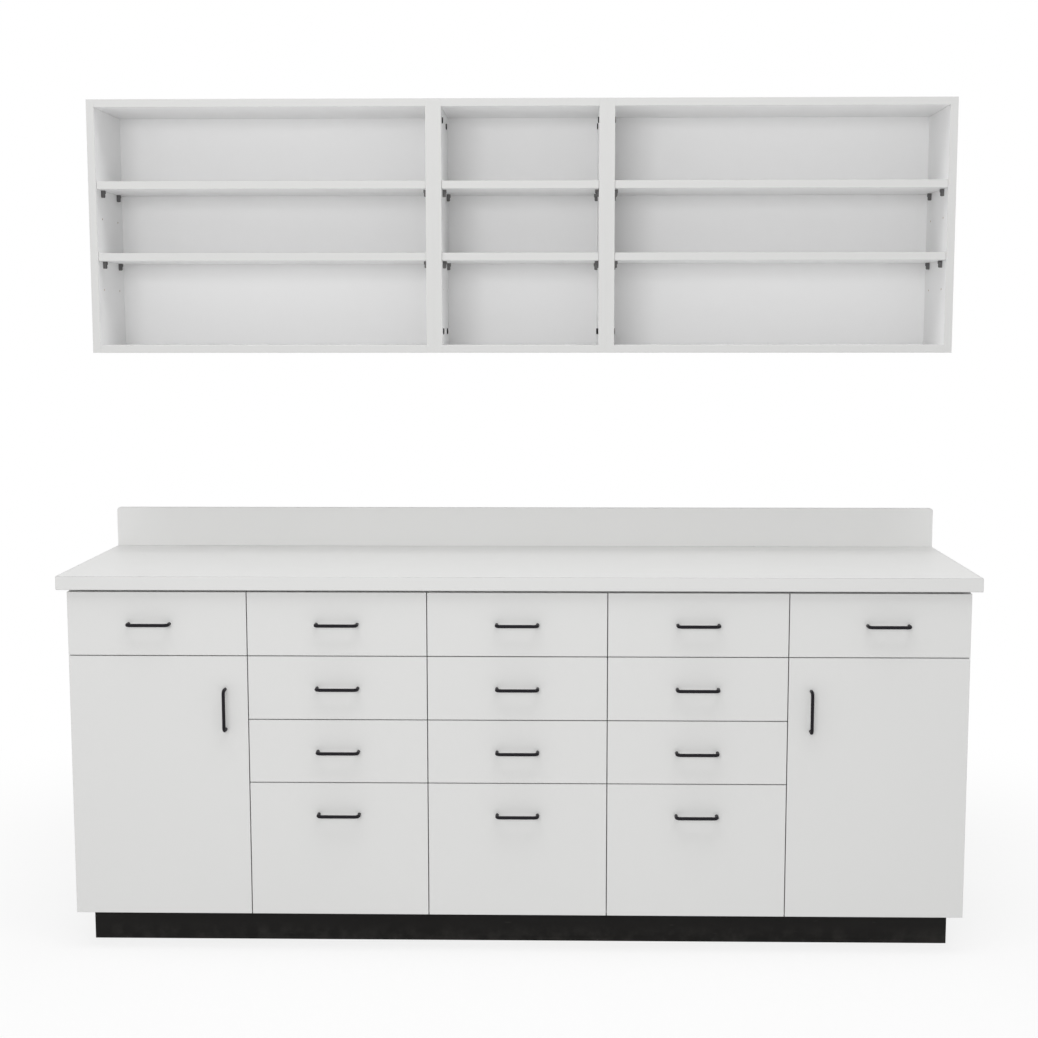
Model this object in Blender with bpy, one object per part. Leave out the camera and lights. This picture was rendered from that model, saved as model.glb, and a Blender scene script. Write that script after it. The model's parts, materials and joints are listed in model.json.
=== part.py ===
"""Pharmacy cabinet with wall shelves.

Three base cabinets stand in a row on a dark plinth, with roller drawers and two cupboard
doors, under one countertop with a backsplash. Three open wall units with loose shelves
hang above it. Metres, +Z up, and the fronts face -Y. The origin is on the floor, in the
middle of the object's box.
"""

import math

import bmesh
import bpy
from mathutils import Matrix, Vector

# The run: columns of one width, a letter each, grouped into cabinets that the wall units line up
# with. Each column lists the rows of its drawers, and one with a single drawer has a cupboard below.
COLUMN_WIDTH = 0.424
UNIT_COLUMNS = {"left": "ab", "centre": "c", "right": "de"}
COLUMN_ROWS = {"a": "1", "b": "1234", "c": "1234", "d": "1234", "e": "1"}

# Boards and the gaps between pieces
BOARD = 0.019
BACK_BOARD = 0.006
BACK_INSET = 0.019
SEAT_GAP = 0.0003
RUNNING_GAP = 0.001
EMBED = 0.0005
OVERCUT = 0.02
EDGE_ROUNDING = 0.0008

# Base cabinets and their plinth
CARCASS_DEPTH = 0.600
CARCASS_HEIGHT = 0.785
STRETCHER_DEPTH = 0.100
PLINTH_HEIGHT = 0.096
PLINTH_SETBACK = 0.078
PLINTH_INSET = 0.018

# Drawer fronts and doors
FRONT_BOARD = 0.019
FRONT_CLEARANCE = 0.003
REVEAL = 0.002
TOP_REVEAL = 0.006
DRAWER_PITCH = 0.1524

# Drawer boxes
BOX_WALL = 0.016
BOX_BOTTOM = 0.006
BOX_BOTTOM_RISE = 0.010
BOX_BACK_SPACE = 0.0377
BOX_LIFT = 0.022
BOX_DROP = 0.022

# Roller slides, one on each side of a drawer box
SLIDE_SPACE = 0.0127
SLIDE_SHEET = 0.0015
SLIDE_SHORT = 0.010
SLIDE_RISE = 0.0025
SLIDE_LIP = 0.0045
RUNNER_FLANGE = 0.010
ROLLER_RADIUS = 0.012
ROLLER_INSET = 0.020
ROLLER_SIDES = 12

# Wire pulls
PULL_CENTRES = 0.096
PULL_WIRE = 0.008
PULL_PROJECTION = 0.030
PULL_BEND = 0.009
PULL_BEND_STEPS = 4
PULL_DROP = 0.0755
END_PULL_SHIFT = 0.0185
DOOR_PULL_INSET = 0.053
DOOR_PULL_DROP = 0.127

# Concealed hinges
HINGE_INSET = 0.100
CUP_EDGE = 0.0225
CUP_RADIUS = 0.0155
CUP_DEPTH = 0.0115
CUP_SIDES = 20
FLANGE_RADIUS = 0.0205
FLANGE_SHEET = 0.001
EAR_HEIGHT = 0.056
EAR_WIDTH = 0.014
ARM_GAP = 0.001
ARM_THICKNESS = 0.010
ARM_HEIGHT = 0.012
ARM_LENGTH = 0.062
PLATE_START = 0.022
PLATE_LENGTH = 0.036
PLATE_THICKNESS = 0.006
PLATE_HEIGHT = 0.044

# Countertop and backsplash
COUNTER_THICKNESS = 0.032
COUNTER_OVERHANG = 0.013
COUNTER_SIDE_OVERHANG = 0.022
COUNTER_EDGE = 0.0015
SPLASH_HEIGHT = 0.102
SPLASH_THICKNESS = 0.019
SPLASH_CORNER = 0.007
CORNER_STEPS = 4

# Wall units and their shelves
WALL_UNIT_BOTTOM = 1.4285
WALL_UNIT_HEIGHT = 0.6145
WALL_UNIT_DEPTH = 0.305
WALL_UNIT_INSIDE = 0.265
WALL_BACK_BOARD = 0.016
HANGING_RAIL = 0.090
SHELF_BOARD = 0.019
SHELF_HEIGHTS = {"lower": 0.2255, "upper": 0.3995}
SHELF_END_GAP = 0.0015
SHELF_SETBACK = 0.005
CLIP_INSET = 0.050
CLIP_REACH = 0.010
CLIP_DROP = 0.017
CLIP_WIDTH = 0.010
CLIP_LEDGE = 0.003

# Places that follow from the sizes above
COLUMN_NAMES = list(COLUMN_ROWS)
RUN_WIDTH = COLUMN_WIDTH * len(COLUMN_NAMES)
DEPTH = CARCASS_DEPTH + FRONT_CLEARANCE + FRONT_BOARD + PULL_PROJECTION
WALL_Y = DEPTH / 2
CARCASS_Y = WALL_Y - CARCASS_DEPTH
FRONT_BACK_Y = CARCASS_Y - FRONT_CLEARANCE
FACE_Y = FRONT_BACK_Y - FRONT_BOARD
CARCASS_Z = PLINTH_HEIGHT + SEAT_GAP
COUNTER_Z = CARCASS_Z + CARCASS_HEIGHT + SEAT_GAP
FRONTS_TOP = COUNTER_Z - TOP_REVEAL
FRONTS_BOTTOM = CARCASS_Z + REVEAL / 2
FRONT_WIDTH = COLUMN_WIDTH - REVEAL
INSIDE_DEPTH = CARCASS_DEPTH - BACK_INSET - BACK_BOARD
BOX_DEPTH = INSIDE_DEPTH + FRONT_CLEARANCE - SEAT_GAP - BOX_BACK_SPACE
SLIDE_LENGTH = BOX_DEPTH - SLIDE_SHORT
SLIDE_HEIGHT = 2 * (ROLLER_RADIUS + SLIDE_SHEET) + SEAT_GAP + RUNNING_GAP
RUNNER_WEB = SLIDE_SPACE - SLIDE_SHEET


def clear_scene():
    """Remove every object that the scene starts with."""
    for item in list(bpy.data.objects):
        bpy.data.objects.remove(item, do_unlink=True)


def new_collection(name):
    """A collection linked to the scene."""
    collection = bpy.data.collections.new(name)
    bpy.context.scene.collection.children.link(collection)
    return collection


def finish(name, colour, roughness, metallic=0.0):
    """A Principled material of one colour."""
    material = bpy.data.materials.new(name)
    material.use_nodes = True
    shader = material.node_tree.nodes["Principled BSDF"]
    shader.inputs["Base Color"].default_value = (*colour, 1.0)
    shader.inputs["Roughness"].default_value = roughness
    shader.inputs["Metallic"].default_value = metallic
    return material


clear_scene()
PARTS = new_collection("pharmacy_cabinet_with_wall_shelves")
HELPERS = new_collection("cutters_and_fittings")
LAMINATE = finish("white_laminate", (0.70, 0.70, 0.69), 0.45)
MELAMINE = finish("white_melamine", (0.66, 0.66, 0.655), 0.5)
COUNTER_LAMINATE = finish("counter_laminate", (0.72, 0.72, 0.715), 0.4)
PLINTH_LAMINATE = finish("black_plinth", (0.016, 0.016, 0.015), 0.5)
PULL_METAL = finish("black_wire_pull", (0.018, 0.017, 0.019), 0.4, 0.6)


def place(name, data, material, parent=None, location=(0, 0, 0)):
    """Make one named piece of the cabinet."""
    piece = bpy.data.objects.new(name, data)
    if not data.materials:
        data.materials.append(material)
    PARTS.objects.link(piece)
    piece.parent = parent
    piece.location = location
    return piece


def carrier(name, location):
    """An empty that the pieces of one moving body hang on."""
    empty = bpy.data.objects.new(name, None)
    empty.empty_display_size = COLUMN_WIDTH / 4
    empty.location = location
    PARTS.objects.link(empty)
    return empty


def helper(name, shape, parent=None):
    """A hidden body that cuts a piece or is joined to it."""
    item = bpy.data.objects.new(name, to_mesh(name, shape))
    HELPERS.objects.link(item)
    item.parent = parent
    item.hide_render = True
    item.display_type = "WIRE"
    return item


def combine(piece, tool, operation):
    """Cut a helper from a piece, or join the helper to it."""
    modifier = piece.modifiers.new(tool.name, "BOOLEAN")
    modifier.object = tool
    modifier.operation = operation
    modifier.solver = "EXACT"


def to_mesh(name, shape):
    """Turn a bmesh into a mesh with its faces pointing out."""
    bmesh.ops.recalc_face_normals(shape, faces=shape.faces)
    mesh = bpy.data.meshes.new(name)
    shape.to_mesh(mesh)
    shape.free()
    return mesh


def add_cuboid(shape, low, high):
    """Add a box between two corners to a bmesh."""
    low, high = Vector(low), Vector(high)
    size = Matrix.Diagonal((*(high - low), 1))
    bmesh.ops.create_cube(shape, size=1, matrix=Matrix.Translation((low + high) / 2) @ size)


def cuboid(low, high, rounding=0.0):
    """A box between two corners, with its edges eased if a rounding is given."""
    shape = bmesh.new()
    add_cuboid(shape, low, high)
    if rounding:
        bmesh.ops.bevel(shape, geom=shape.edges[:], offset=rounding, affect="EDGES", segments=1, profile=0.5)
    return shape


def add_cylinder(shape, start, end, radius, sides):
    """Add a round bar between two points to a bmesh."""
    start, end = Vector(start), Vector(end)
    turn = (end - start).to_track_quat("Z", "Y").to_matrix().to_4x4()
    bmesh.ops.create_cone(
        shape, cap_ends=True, segments=sides, radius1=radius, radius2=radius,
        depth=(end - start).length, matrix=Matrix.Translation((start + end) / 2) @ turn,
    )


def arc(centre, radius, start, end, steps):
    """Points on an arc between two angles in degrees."""
    angles = [math.radians(start + (end - start) * step / steps) for step in range(steps + 1)]
    return [(centre[0] + radius * math.cos(a), centre[1] + radius * math.sin(a)) for a in angles]


def add_profile(shape, outline, start, end, axis, mirrored=False):
    """Add a flat outline, drawn out along X or Y between two places, to a bmesh.

    The outline's points are (across, height), where across runs along the other level axis.
    """
    curve = bpy.data.curves.new("outline", "CURVE")
    curve.dimensions = "2D"
    curve.fill_mode = "BOTH"
    curve.extrude = (end - start) / 2
    spline = curve.splines.new("POLY")
    spline.points.add(len(outline) - 1)
    for point, (across, height) in zip(spline.points, outline):
        point.co = (-across if mirrored else across, height, 0, 1)
    spline.use_cyclic_u = True
    guide = bpy.data.objects.new("outline", curve)
    mesh = bpy.data.meshes.new_from_object(guide)
    upright = Matrix.Rotation(math.radians(90), 4, "X")
    if axis == "X":
        upright = Matrix.Rotation(math.radians(90), 4, "Z") @ upright
    middle = (start + end) / 2
    shift = (middle, 0, 0) if axis == "X" else (0, middle, 0)
    mesh.transform(Matrix.Translation(shift) @ upright)
    shape.from_mesh(mesh)
    bmesh.ops.remove_doubles(shape, verts=shape.verts, dist=1e-6)
    bpy.data.objects.remove(guide)
    bpy.data.curves.remove(curve)
    bpy.data.meshes.remove(mesh)


def face_towards(shape, direction):
    """The face of a bmesh that lies furthest along a direction."""
    return max(shape.faces, key=lambda face: face.calc_center_median().dot(Vector(direction)))


def hollow(shape, direction, wall, depth):
    """Sink the outermost face on one side, leaving a rim of the given wall."""
    floor = face_towards(shape, direction)
    bmesh.ops.inset_region(shape, faces=[floor], thickness=wall)
    bmesh.ops.translate(shape, verts=floor.verts, vec=Vector(direction) * -depth)


def column_line(index):
    """X of the line to the left of a column, counted from 0."""
    return -RUN_WIDTH / 2 + index * COLUMN_WIDTH


def unit_spans():
    """Name, first column and column count of each cabinet, from the left."""
    first = 0
    for name, columns in UNIT_COLUMNS.items():
        yield name, first, len(columns)
        first += len(columns)


def unit_sides(first, count):
    """Left and right outer face of a cabinet."""
    return column_line(first) + SEAT_GAP / 2, column_line(first + count) - SEAT_GAP / 2


def openings(first, count):
    """Left and right edge of the clear space of each column in a cabinet."""
    left, right = unit_sides(first, count)
    for column in range(first, first + count):
        begin = left + BOARD if column == first else column_line(column) + BOARD / 2
        finish_x = right - BOARD if column == first + count - 1 else column_line(column + 1) - BOARD / 2
        yield column, begin, finish_x


def drawer_spans(column):
    """Label, bottom and top of each drawer front in a column, from the top one down.

    A column of one drawer leaves the rest to a door. In a stack the last drawer takes it.
    """
    rows = COLUMN_ROWS[COLUMN_NAMES[column]]
    top = FRONTS_TOP
    for row in rows:
        last_of_stack = row == rows[-1] and not has_door(column)
        bottom = FRONTS_BOTTOM if last_of_stack else top + REVEAL - DRAWER_PITCH
        yield f"{COLUMN_NAMES[column]}{row}", bottom, top
        top = bottom - REVEAL


def has_door(column):
    """Whether a column has a cupboard under its one drawer."""
    return len(COLUMN_ROWS[COLUMN_NAMES[column]]) == 1


def door_top():
    """Top edge of the doors, under the first row of drawers."""
    return FRONTS_TOP - DRAWER_PITCH


def hinge_heights():
    """Heights of the hinges of a door."""
    return FRONTS_BOTTOM + HINGE_INSET, door_top() - HINGE_INSET


def slide_rail_outline(rise):
    """Section of the cabinet's half of a slide: a channel whose back lies on the board."""
    top = rise + SLIDE_HEIGHT
    flange = RUNNER_WEB - 2 * RUNNING_GAP
    lip = SLIDE_SHEET + SLIDE_LIP
    return [
        (-EMBED, rise), (flange, rise), (flange, rise + SLIDE_SHEET), (SLIDE_SHEET, rise + SLIDE_SHEET),
        (SLIDE_SHEET, top - SLIDE_SHEET), (lip, top - SLIDE_SHEET), (lip, top), (-EMBED, top),
    ]


def runner_outline():
    """Section of the drawer's half of a slide: a flange under the box, a web and a lip over the rollers."""
    lip = SLIDE_RISE + SLIDE_HEIGHT + RUNNING_GAP + SEAT_GAP
    inside = SLIDE_SPACE + EMBED
    return [
        (RUNNER_WEB, -SLIDE_SHEET), (SLIDE_SPACE + RUNNER_FLANGE, -SLIDE_SHEET),
        (SLIDE_SPACE + RUNNER_FLANGE, EMBED), (inside, EMBED), (inside, lip + SLIDE_SHEET),
        (SLIDE_SHEET + RUNNING_GAP, lip + SLIDE_SHEET), (SLIDE_SHEET + RUNNING_GAP, lip), (RUNNER_WEB, lip),
    ]


def moved(outline, across):
    """An outline shifted sideways."""
    return [(point[0] + across, point[1]) for point in outline]


def add_cabinet_slides(rails, rollers, begin, finish_x, box_bottom):
    """Add the fixed rails of one drawer and their front rollers."""
    outline = slide_rail_outline(box_bottom + SLIDE_RISE)
    rail_start = CARCASS_Y + RUNNING_GAP
    roller_y = rail_start + ROLLER_INSET
    roller_z = box_bottom + SLIDE_RISE + SLIDE_HEIGHT + RUNNING_GAP - ROLLER_RADIUS
    reach = RUNNER_WEB - 2 * RUNNING_GAP
    for board, side in ((begin, 1), (finish_x, -1)):
        add_profile(rails, moved(outline, side * board), rail_start, rail_start + SLIDE_LENGTH, "Y", side < 0)
        inner = (board + side * EMBED, roller_y, roller_z)
        outer = (board + side * reach, roller_y, roller_z)
        add_cylinder(rollers, inner, outer, ROLLER_RADIUS, ROLLER_SIDES)


def add_hinge_arms(plates, arms, begin, finish_x, on_left):
    """Add the mounting plates of a door's hinges and the arms that reach into the cups."""
    board, side = (begin, 1) if on_left else (finish_x, -1)
    tip = FRONT_BACK_Y - CUP_DEPTH + SEAT_GAP
    for height in hinge_heights():
        corners = sorted((board - side * EMBED, board + side * PLATE_THICKNESS))
        add_cuboid(
            plates, (corners[0], CARCASS_Y + PLATE_START, height - PLATE_HEIGHT / 2),
            (corners[1], CARCASS_Y + PLATE_START + PLATE_LENGTH, height + PLATE_HEIGHT / 2),
        )
        corners = sorted((board + side * ARM_GAP, board + side * (ARM_GAP + ARM_THICKNESS)))
        add_cuboid(
            arms, (corners[0], tip, height - ARM_HEIGHT / 2),
            (corners[1], CARCASS_Y + ARM_LENGTH, height + ARM_HEIGHT / 2),
        )


def build_base_cabinet(name, first, count):
    """One base cabinet: boards, back, stretchers, the drawers' rails and the hinges' arms."""
    left, right = unit_sides(first, count)
    top = CARCASS_Z + CARCASS_HEIGHT
    back = CARCASS_Y + INSIDE_DEPTH + BACK_BOARD
    cavities, skylights, rails, rollers = (bmesh.new() for _ in range(4))
    for column, begin, finish_x in openings(first, count):
        add_cuboid(
            cavities, (begin, CARCASS_Y - OVERCUT, CARCASS_Z + BOARD), (finish_x, back - BACK_BOARD, top - BOARD)
        )
        add_cuboid(
            skylights, (begin, CARCASS_Y + STRETCHER_DEPTH, top - 2 * BOARD),
            (finish_x, back - STRETCHER_DEPTH, top + OVERCUT),
        )
        for _, bottom, _ in drawer_spans(column):
            add_cabinet_slides(rails, rollers, begin, finish_x, bottom + BOX_LIFT)
        if has_door(column):
            add_hinge_arms(rails, rollers, begin, finish_x, column == 0)
    recess = cuboid(
        (left + BOARD, back, CARCASS_Z + BOARD), (right - BOARD, WALL_Y + OVERCUT, top - STRETCHER_DEPTH)
    )
    box = cuboid((left, CARCASS_Y, CARCASS_Z), (right, WALL_Y, top))
    node = f"base_cabinet_{name}"
    cabinet = place(node, to_mesh(node, box), MELAMINE)
    combine(cabinet, helper(f"{node}_cavities", cavities), "DIFFERENCE")
    combine(cabinet, helper(f"{node}_skylights", skylights), "DIFFERENCE")
    combine(cabinet, helper(f"{node}_recess", recess), "DIFFERENCE")
    combine(cabinet, helper(f"{node}_rails_and_plates", rails), "UNION")
    combine(cabinet, helper(f"{node}_rollers_and_arms", rollers), "UNION")


def build_plinth():
    """The ladder frame that the base cabinets stand on, with a rung under each joint of two columns."""
    front = CARCASS_Y + PLINTH_SETBACK
    end = RUN_WIDTH / 2 - PLINTH_INSET
    cells = bmesh.new()
    for column in range(len(COLUMN_NAMES)):
        begin = max(column_line(column) + BOARD / 2, -end + BOARD)
        finish_x = min(column_line(column + 1) - BOARD / 2, end - BOARD)
        add_cuboid(cells, (begin, front + BOARD, -OVERCUT), (finish_x, WALL_Y - BOARD, PLINTH_HEIGHT + OVERCUT))
    frame = cuboid((-end, front, 0), (end, WALL_Y, PLINTH_HEIGHT))
    plinth = place("plinth", to_mesh("plinth", frame), PLINTH_LAMINATE)
    combine(plinth, helper("plinth_cells", cells), "DIFFERENCE")


def build_countertop():
    """The countertop with its backsplash, from one section along the run."""
    front = FACE_Y - COUNTER_OVERHANG
    deck = COUNTER_Z + COUNTER_THICKNESS
    top = deck + SPLASH_HEIGHT
    splash = WALL_Y - SPLASH_THICKNESS
    ease = COUNTER_EDGE
    outline = [
        (WALL_Y, COUNTER_Z),
        *arc((WALL_Y - ease, top - ease), ease, 0, 90, CORNER_STEPS // 2),
        *arc((splash + ease, top - ease), ease, 90, 180, CORNER_STEPS // 2),
        (splash, deck),
        *arc((front + ease, deck - ease), ease, 90, 180, CORNER_STEPS // 2),
        *arc((front + ease, COUNTER_Z + ease), ease, 180, 270, CORNER_STEPS // 2),
    ]
    end = RUN_WIDTH / 2 + COUNTER_SIDE_OVERHANG
    shape = bmesh.new()
    add_profile(shape, outline, -end, end, "X")
    countertop = place("countertop", to_mesh("countertop", shape), COUNTER_LAMINATE)
    corners = bmesh.new()
    for side in (-1, 1):
        square = [(side * (end + OVERCUT), top - SPLASH_CORNER), (side * (end + OVERCUT), top + OVERCUT)]
        centre = (side * (end - SPLASH_CORNER), top - SPLASH_CORNER)
        turn = (90, 0) if side > 0 else (90, 180)
        curve = arc(centre, SPLASH_CORNER, *turn, CORNER_STEPS)
        brim = [(side * (end - SPLASH_CORNER), top + OVERCUT)]
        add_profile(corners, square + brim + curve, splash - OVERCUT, WALL_Y + OVERCUT, "Y")
    combine(countertop, helper("splash_corners", corners), "DIFFERENCE")


def drawer_box_mesh(opening, height):
    """A drawer box, open at the top, with its two runners and their rear rollers."""
    half = opening / 2 - SLIDE_SPACE
    box = cuboid((-half, SEAT_GAP, 0), (half, SEAT_GAP + BOX_DEPTH, height))
    hollow(box, (0, 0, 1), BOX_WALL, height - BOX_BOTTOM_RISE - BOX_BOTTOM)
    hollow(box, (0, 0, -1), BOX_WALL, BOX_BOTTOM_RISE)
    runners, rollers = bmesh.new(), bmesh.new()
    start = SEAT_GAP + FRONT_CLEARANCE + RUNNING_GAP
    roller_y = BOX_DEPTH - ROLLER_INSET
    roller_z = SLIDE_RISE + SLIDE_SHEET + SEAT_GAP + ROLLER_RADIUS
    for side in (1, -1):
        board = -side * opening / 2
        add_profile(runners, moved(runner_outline(), -opening / 2), start, BOX_DEPTH, "Y", side < 0)
        inner = (board + side * (SLIDE_SHEET + RUNNING_GAP), roller_y, roller_z)
        outer = (board + side * (RUNNER_WEB + EMBED), roller_y, roller_z)
        add_cylinder(rollers, inner, outer, ROLLER_RADIUS, ROLLER_SIDES)
    draft = helper("drawer_box_draft", box)
    combine(draft, helper("drawer_runners", runners), "UNION")
    combine(draft, helper("drawer_rollers", rollers), "UNION")
    graph = bpy.context.evaluated_depsgraph_get()
    return bpy.data.meshes.new_from_object(draft.evaluated_get(graph))


def pull_curve(name, upright):
    """A bent wire pull: two legs, two bends and a bar, level or upright, in front of the plane y = 0."""
    reach = PULL_PROJECTION - PULL_WIRE / 2
    half = PULL_CENTRES / 2
    left = arc((-half + PULL_BEND, -reach + PULL_BEND), PULL_BEND, 180, 270, PULL_BEND_STEPS)
    right = arc((half - PULL_BEND, -reach + PULL_BEND), PULL_BEND, 270, 360, PULL_BEND_STEPS)
    path = [(-half, -SEAT_GAP), *left, *right, (half, -SEAT_GAP)]
    curve = bpy.data.curves.new(name, "CURVE")
    curve.dimensions = "3D"
    curve.bevel_depth = PULL_WIRE / 2
    curve.bevel_resolution = 2
    curve.use_fill_caps = True
    spline = curve.splines.new("POLY")
    spline.points.add(len(path) - 1)
    for point, (along, out) in zip(spline.points, path):
        point.co = (0, out, along, 1) if upright else (along, out, 0, 1)
    return curve


def build_drawers():
    """The drawers of every column: front, box and pull on one carrier each."""
    level_pull = pull_curve("level_pull", False)
    boxes, fronts = {}, {}
    for _, first, count in unit_spans():
        for column, begin, finish_x in openings(first, count):
            middle = (column_line(column) + column_line(column + 1)) / 2
            ends = {0: -END_PULL_SHIFT, len(COLUMN_NAMES) - 1: END_PULL_SHIFT}
            for label, bottom, top in drawer_spans(column):
                height = top - bottom
                if (shape := round(height, 6)) not in fronts:
                    front = cuboid((-FRONT_WIDTH / 2, -FRONT_BOARD, 0), (FRONT_WIDTH / 2, 0, height), EDGE_ROUNDING)
                    fronts[shape] = to_mesh("drawer_front", front)
                if (size := (round(finish_x - begin, 6), shape)) not in boxes:
                    boxes[size] = drawer_box_mesh(finish_x - begin, height - BOX_LIFT - BOX_DROP)
                drawer = carrier(f"drawer_{label}", (middle, FRONT_BACK_Y, bottom))
                place(f"drawer_front_{label}", fronts[shape], LAMINATE, drawer)
                centred = ((begin + finish_x) / 2 - middle, 0, BOX_LIFT)
                place(f"drawer_box_{label}", boxes[size], MELAMINE, drawer, centred)
                held = (ends.get(column, 0), -FRONT_BOARD, height - PULL_DROP)
                place(f"drawer_pull_{label}", level_pull, PULL_METAL, drawer, held)


def build_door(name, column):
    """A cupboard door with its hinge cups and its pull, on a carrier at the hinge axis."""
    on_left = column == 0
    side = 1 if on_left else -1
    edge = column_line(column) + REVEAL / 2 if on_left else column_line(column + 1) - REVEAL / 2
    height = door_top() - FRONTS_BOTTOM
    axis = carrier(f"door_{name}_axis", (edge, FRONT_BACK_Y, FRONTS_BOTTOM))
    ends = sorted((0, side * FRONT_WIDTH))
    board = cuboid((ends[0], -FRONT_BOARD, 0), (ends[1], 0, height), EDGE_ROUNDING)
    door = place(f"door_{name}", to_mesh(f"door_{name}", board), LAMINATE, axis)
    ears, flanges, cups = (bmesh.new() for _ in range(3))
    for level in hinge_heights():
        centre = Vector((side * CUP_EDGE, 0, level - FRONTS_BOTTOM))
        half_ear = Vector((EAR_WIDTH / 2, 0, EAR_HEIGHT / 2))
        inside, outside = Vector((0, -EMBED, 0)), Vector((0, FLANGE_SHEET, 0))
        add_cuboid(ears, centre - half_ear + inside, centre + half_ear + outside)
        add_cylinder(flanges, centre + 2 * inside, centre + outside, FLANGE_RADIUS, CUP_SIDES)
        mouth = centre + Vector((0, OVERCUT, 0))
        add_cylinder(cups, centre - Vector((0, CUP_DEPTH, 0)), mouth, CUP_RADIUS, CUP_SIDES)
    combine(door, helper(f"door_{name}_ears", ears, axis), "UNION")
    combine(door, helper(f"door_{name}_flanges", flanges, axis), "UNION")
    combine(door, helper(f"door_{name}_cups", cups, axis), "DIFFERENCE")
    held = (side * (FRONT_WIDTH - DOOR_PULL_INSET), -FRONT_BOARD, height - DOOR_PULL_DROP)
    place(f"door_pull_{name}", pull_curve(f"upright_pull_{name}", True), PULL_METAL, axis, held)


def add_clips(clips, left, right, height, shelf_front, shelf_back):
    """Add the four clips under one shelf to a bmesh: wedges that stand out from the side boards."""
    outline = [
        (-EMBED, height), (CLIP_REACH, height), (CLIP_REACH, height - CLIP_LEDGE),
        (CLIP_LEDGE, height - CLIP_DROP), (-EMBED, height - CLIP_DROP),
    ]
    for middle in (shelf_front + CLIP_INSET, shelf_back - CLIP_INSET):
        start, end = middle - CLIP_WIDTH / 2, middle + CLIP_WIDTH / 2
        add_profile(clips, moved(outline, left), start, end, "Y")
        add_profile(clips, moved(outline, -right), start, end, "Y", True)


def build_wall_unit(name, first, count):
    """One open wall unit with its hanging rails and shelf clips, and the shelves on them."""
    left, right = unit_sides(first, count)
    front = WALL_Y - WALL_UNIT_DEPTH
    inside_back = front + WALL_UNIT_INSIDE
    bottom, top = WALL_UNIT_BOTTOM, WALL_UNIT_BOTTOM + WALL_UNIT_HEIGHT
    cavity = cuboid((left + BOARD, front - OVERCUT, bottom + BOARD), (right - BOARD, inside_back, top - BOARD))
    recess = cuboid(
        (left + BOARD, inside_back + WALL_BACK_BOARD, bottom + HANGING_RAIL),
        (right - BOARD, WALL_Y + OVERCUT, top - HANGING_RAIL),
    )
    clips = bmesh.new()
    shelf_front, shelf_back = front + SHELF_SETBACK, inside_back - SEAT_GAP
    for level, rise in SHELF_HEIGHTS.items():
        add_clips(clips, left + BOARD, right - BOARD, bottom + rise - SEAT_GAP, shelf_front, shelf_back)
        low = (left + BOARD + SHELF_END_GAP, shelf_front, bottom + rise)
        high = (right - BOARD - SHELF_END_GAP, shelf_back, bottom + rise + SHELF_BOARD)
        node = f"wall_shelf_{name}_{level}"
        place(node, to_mesh(node, cuboid(low, high, EDGE_ROUNDING)), MELAMINE)
    node = f"wall_unit_{name}"
    unit = place(node, to_mesh(node, cuboid((left, front, bottom), (right, WALL_Y, top))), MELAMINE)
    combine(unit, helper(f"{node}_cavity", cavity), "DIFFERENCE")
    combine(unit, helper(f"{node}_recess", recess), "DIFFERENCE")
    combine(unit, helper(f"{node}_clips", clips), "UNION")


build_plinth()
build_countertop()
for unit_name, first_column, column_count in unit_spans():
    build_base_cabinet(unit_name, first_column, column_count)
    build_wall_unit(unit_name, first_column, column_count)
build_drawers()
build_door("left", 0)
build_door("right", len(COLUMN_NAMES) - 1)
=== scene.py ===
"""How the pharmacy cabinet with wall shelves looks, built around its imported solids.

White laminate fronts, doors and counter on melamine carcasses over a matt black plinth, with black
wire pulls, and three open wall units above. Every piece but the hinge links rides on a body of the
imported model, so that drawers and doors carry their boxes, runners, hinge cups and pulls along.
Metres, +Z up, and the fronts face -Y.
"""

from __future__ import annotations

import json
import logging
import math
from abc import ABC, abstractmethod
from dataclasses import dataclass
from enum import Enum, IntEnum
from functools import lru_cache
from typing import Any, Iterable, Mapping, NamedTuple, Optional, Sequence, Union

import bmesh
import bpy
from mathutils import Matrix, Quaternion, Vector

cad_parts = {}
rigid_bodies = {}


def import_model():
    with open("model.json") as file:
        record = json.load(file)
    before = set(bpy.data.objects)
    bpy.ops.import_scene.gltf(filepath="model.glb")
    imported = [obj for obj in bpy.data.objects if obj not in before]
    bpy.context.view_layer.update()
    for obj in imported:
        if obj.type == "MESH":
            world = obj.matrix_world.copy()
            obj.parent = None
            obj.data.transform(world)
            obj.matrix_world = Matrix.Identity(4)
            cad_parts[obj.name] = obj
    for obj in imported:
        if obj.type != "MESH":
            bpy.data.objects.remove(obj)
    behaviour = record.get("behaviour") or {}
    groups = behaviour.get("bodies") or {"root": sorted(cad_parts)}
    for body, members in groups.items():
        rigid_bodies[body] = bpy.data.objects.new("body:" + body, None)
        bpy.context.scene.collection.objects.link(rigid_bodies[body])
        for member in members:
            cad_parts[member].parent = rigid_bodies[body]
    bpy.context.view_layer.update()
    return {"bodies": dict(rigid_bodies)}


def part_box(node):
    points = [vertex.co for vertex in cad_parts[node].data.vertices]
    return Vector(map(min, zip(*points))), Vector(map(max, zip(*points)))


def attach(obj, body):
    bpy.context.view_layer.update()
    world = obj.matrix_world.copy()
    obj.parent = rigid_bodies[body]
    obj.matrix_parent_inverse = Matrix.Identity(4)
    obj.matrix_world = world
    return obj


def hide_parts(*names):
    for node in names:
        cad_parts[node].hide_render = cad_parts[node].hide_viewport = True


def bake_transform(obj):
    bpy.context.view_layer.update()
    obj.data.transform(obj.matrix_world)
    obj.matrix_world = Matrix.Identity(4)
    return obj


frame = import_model()

LOG = logging.getLogger("pharmacy_cabinet")
CABINET = "cabinet"

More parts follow.
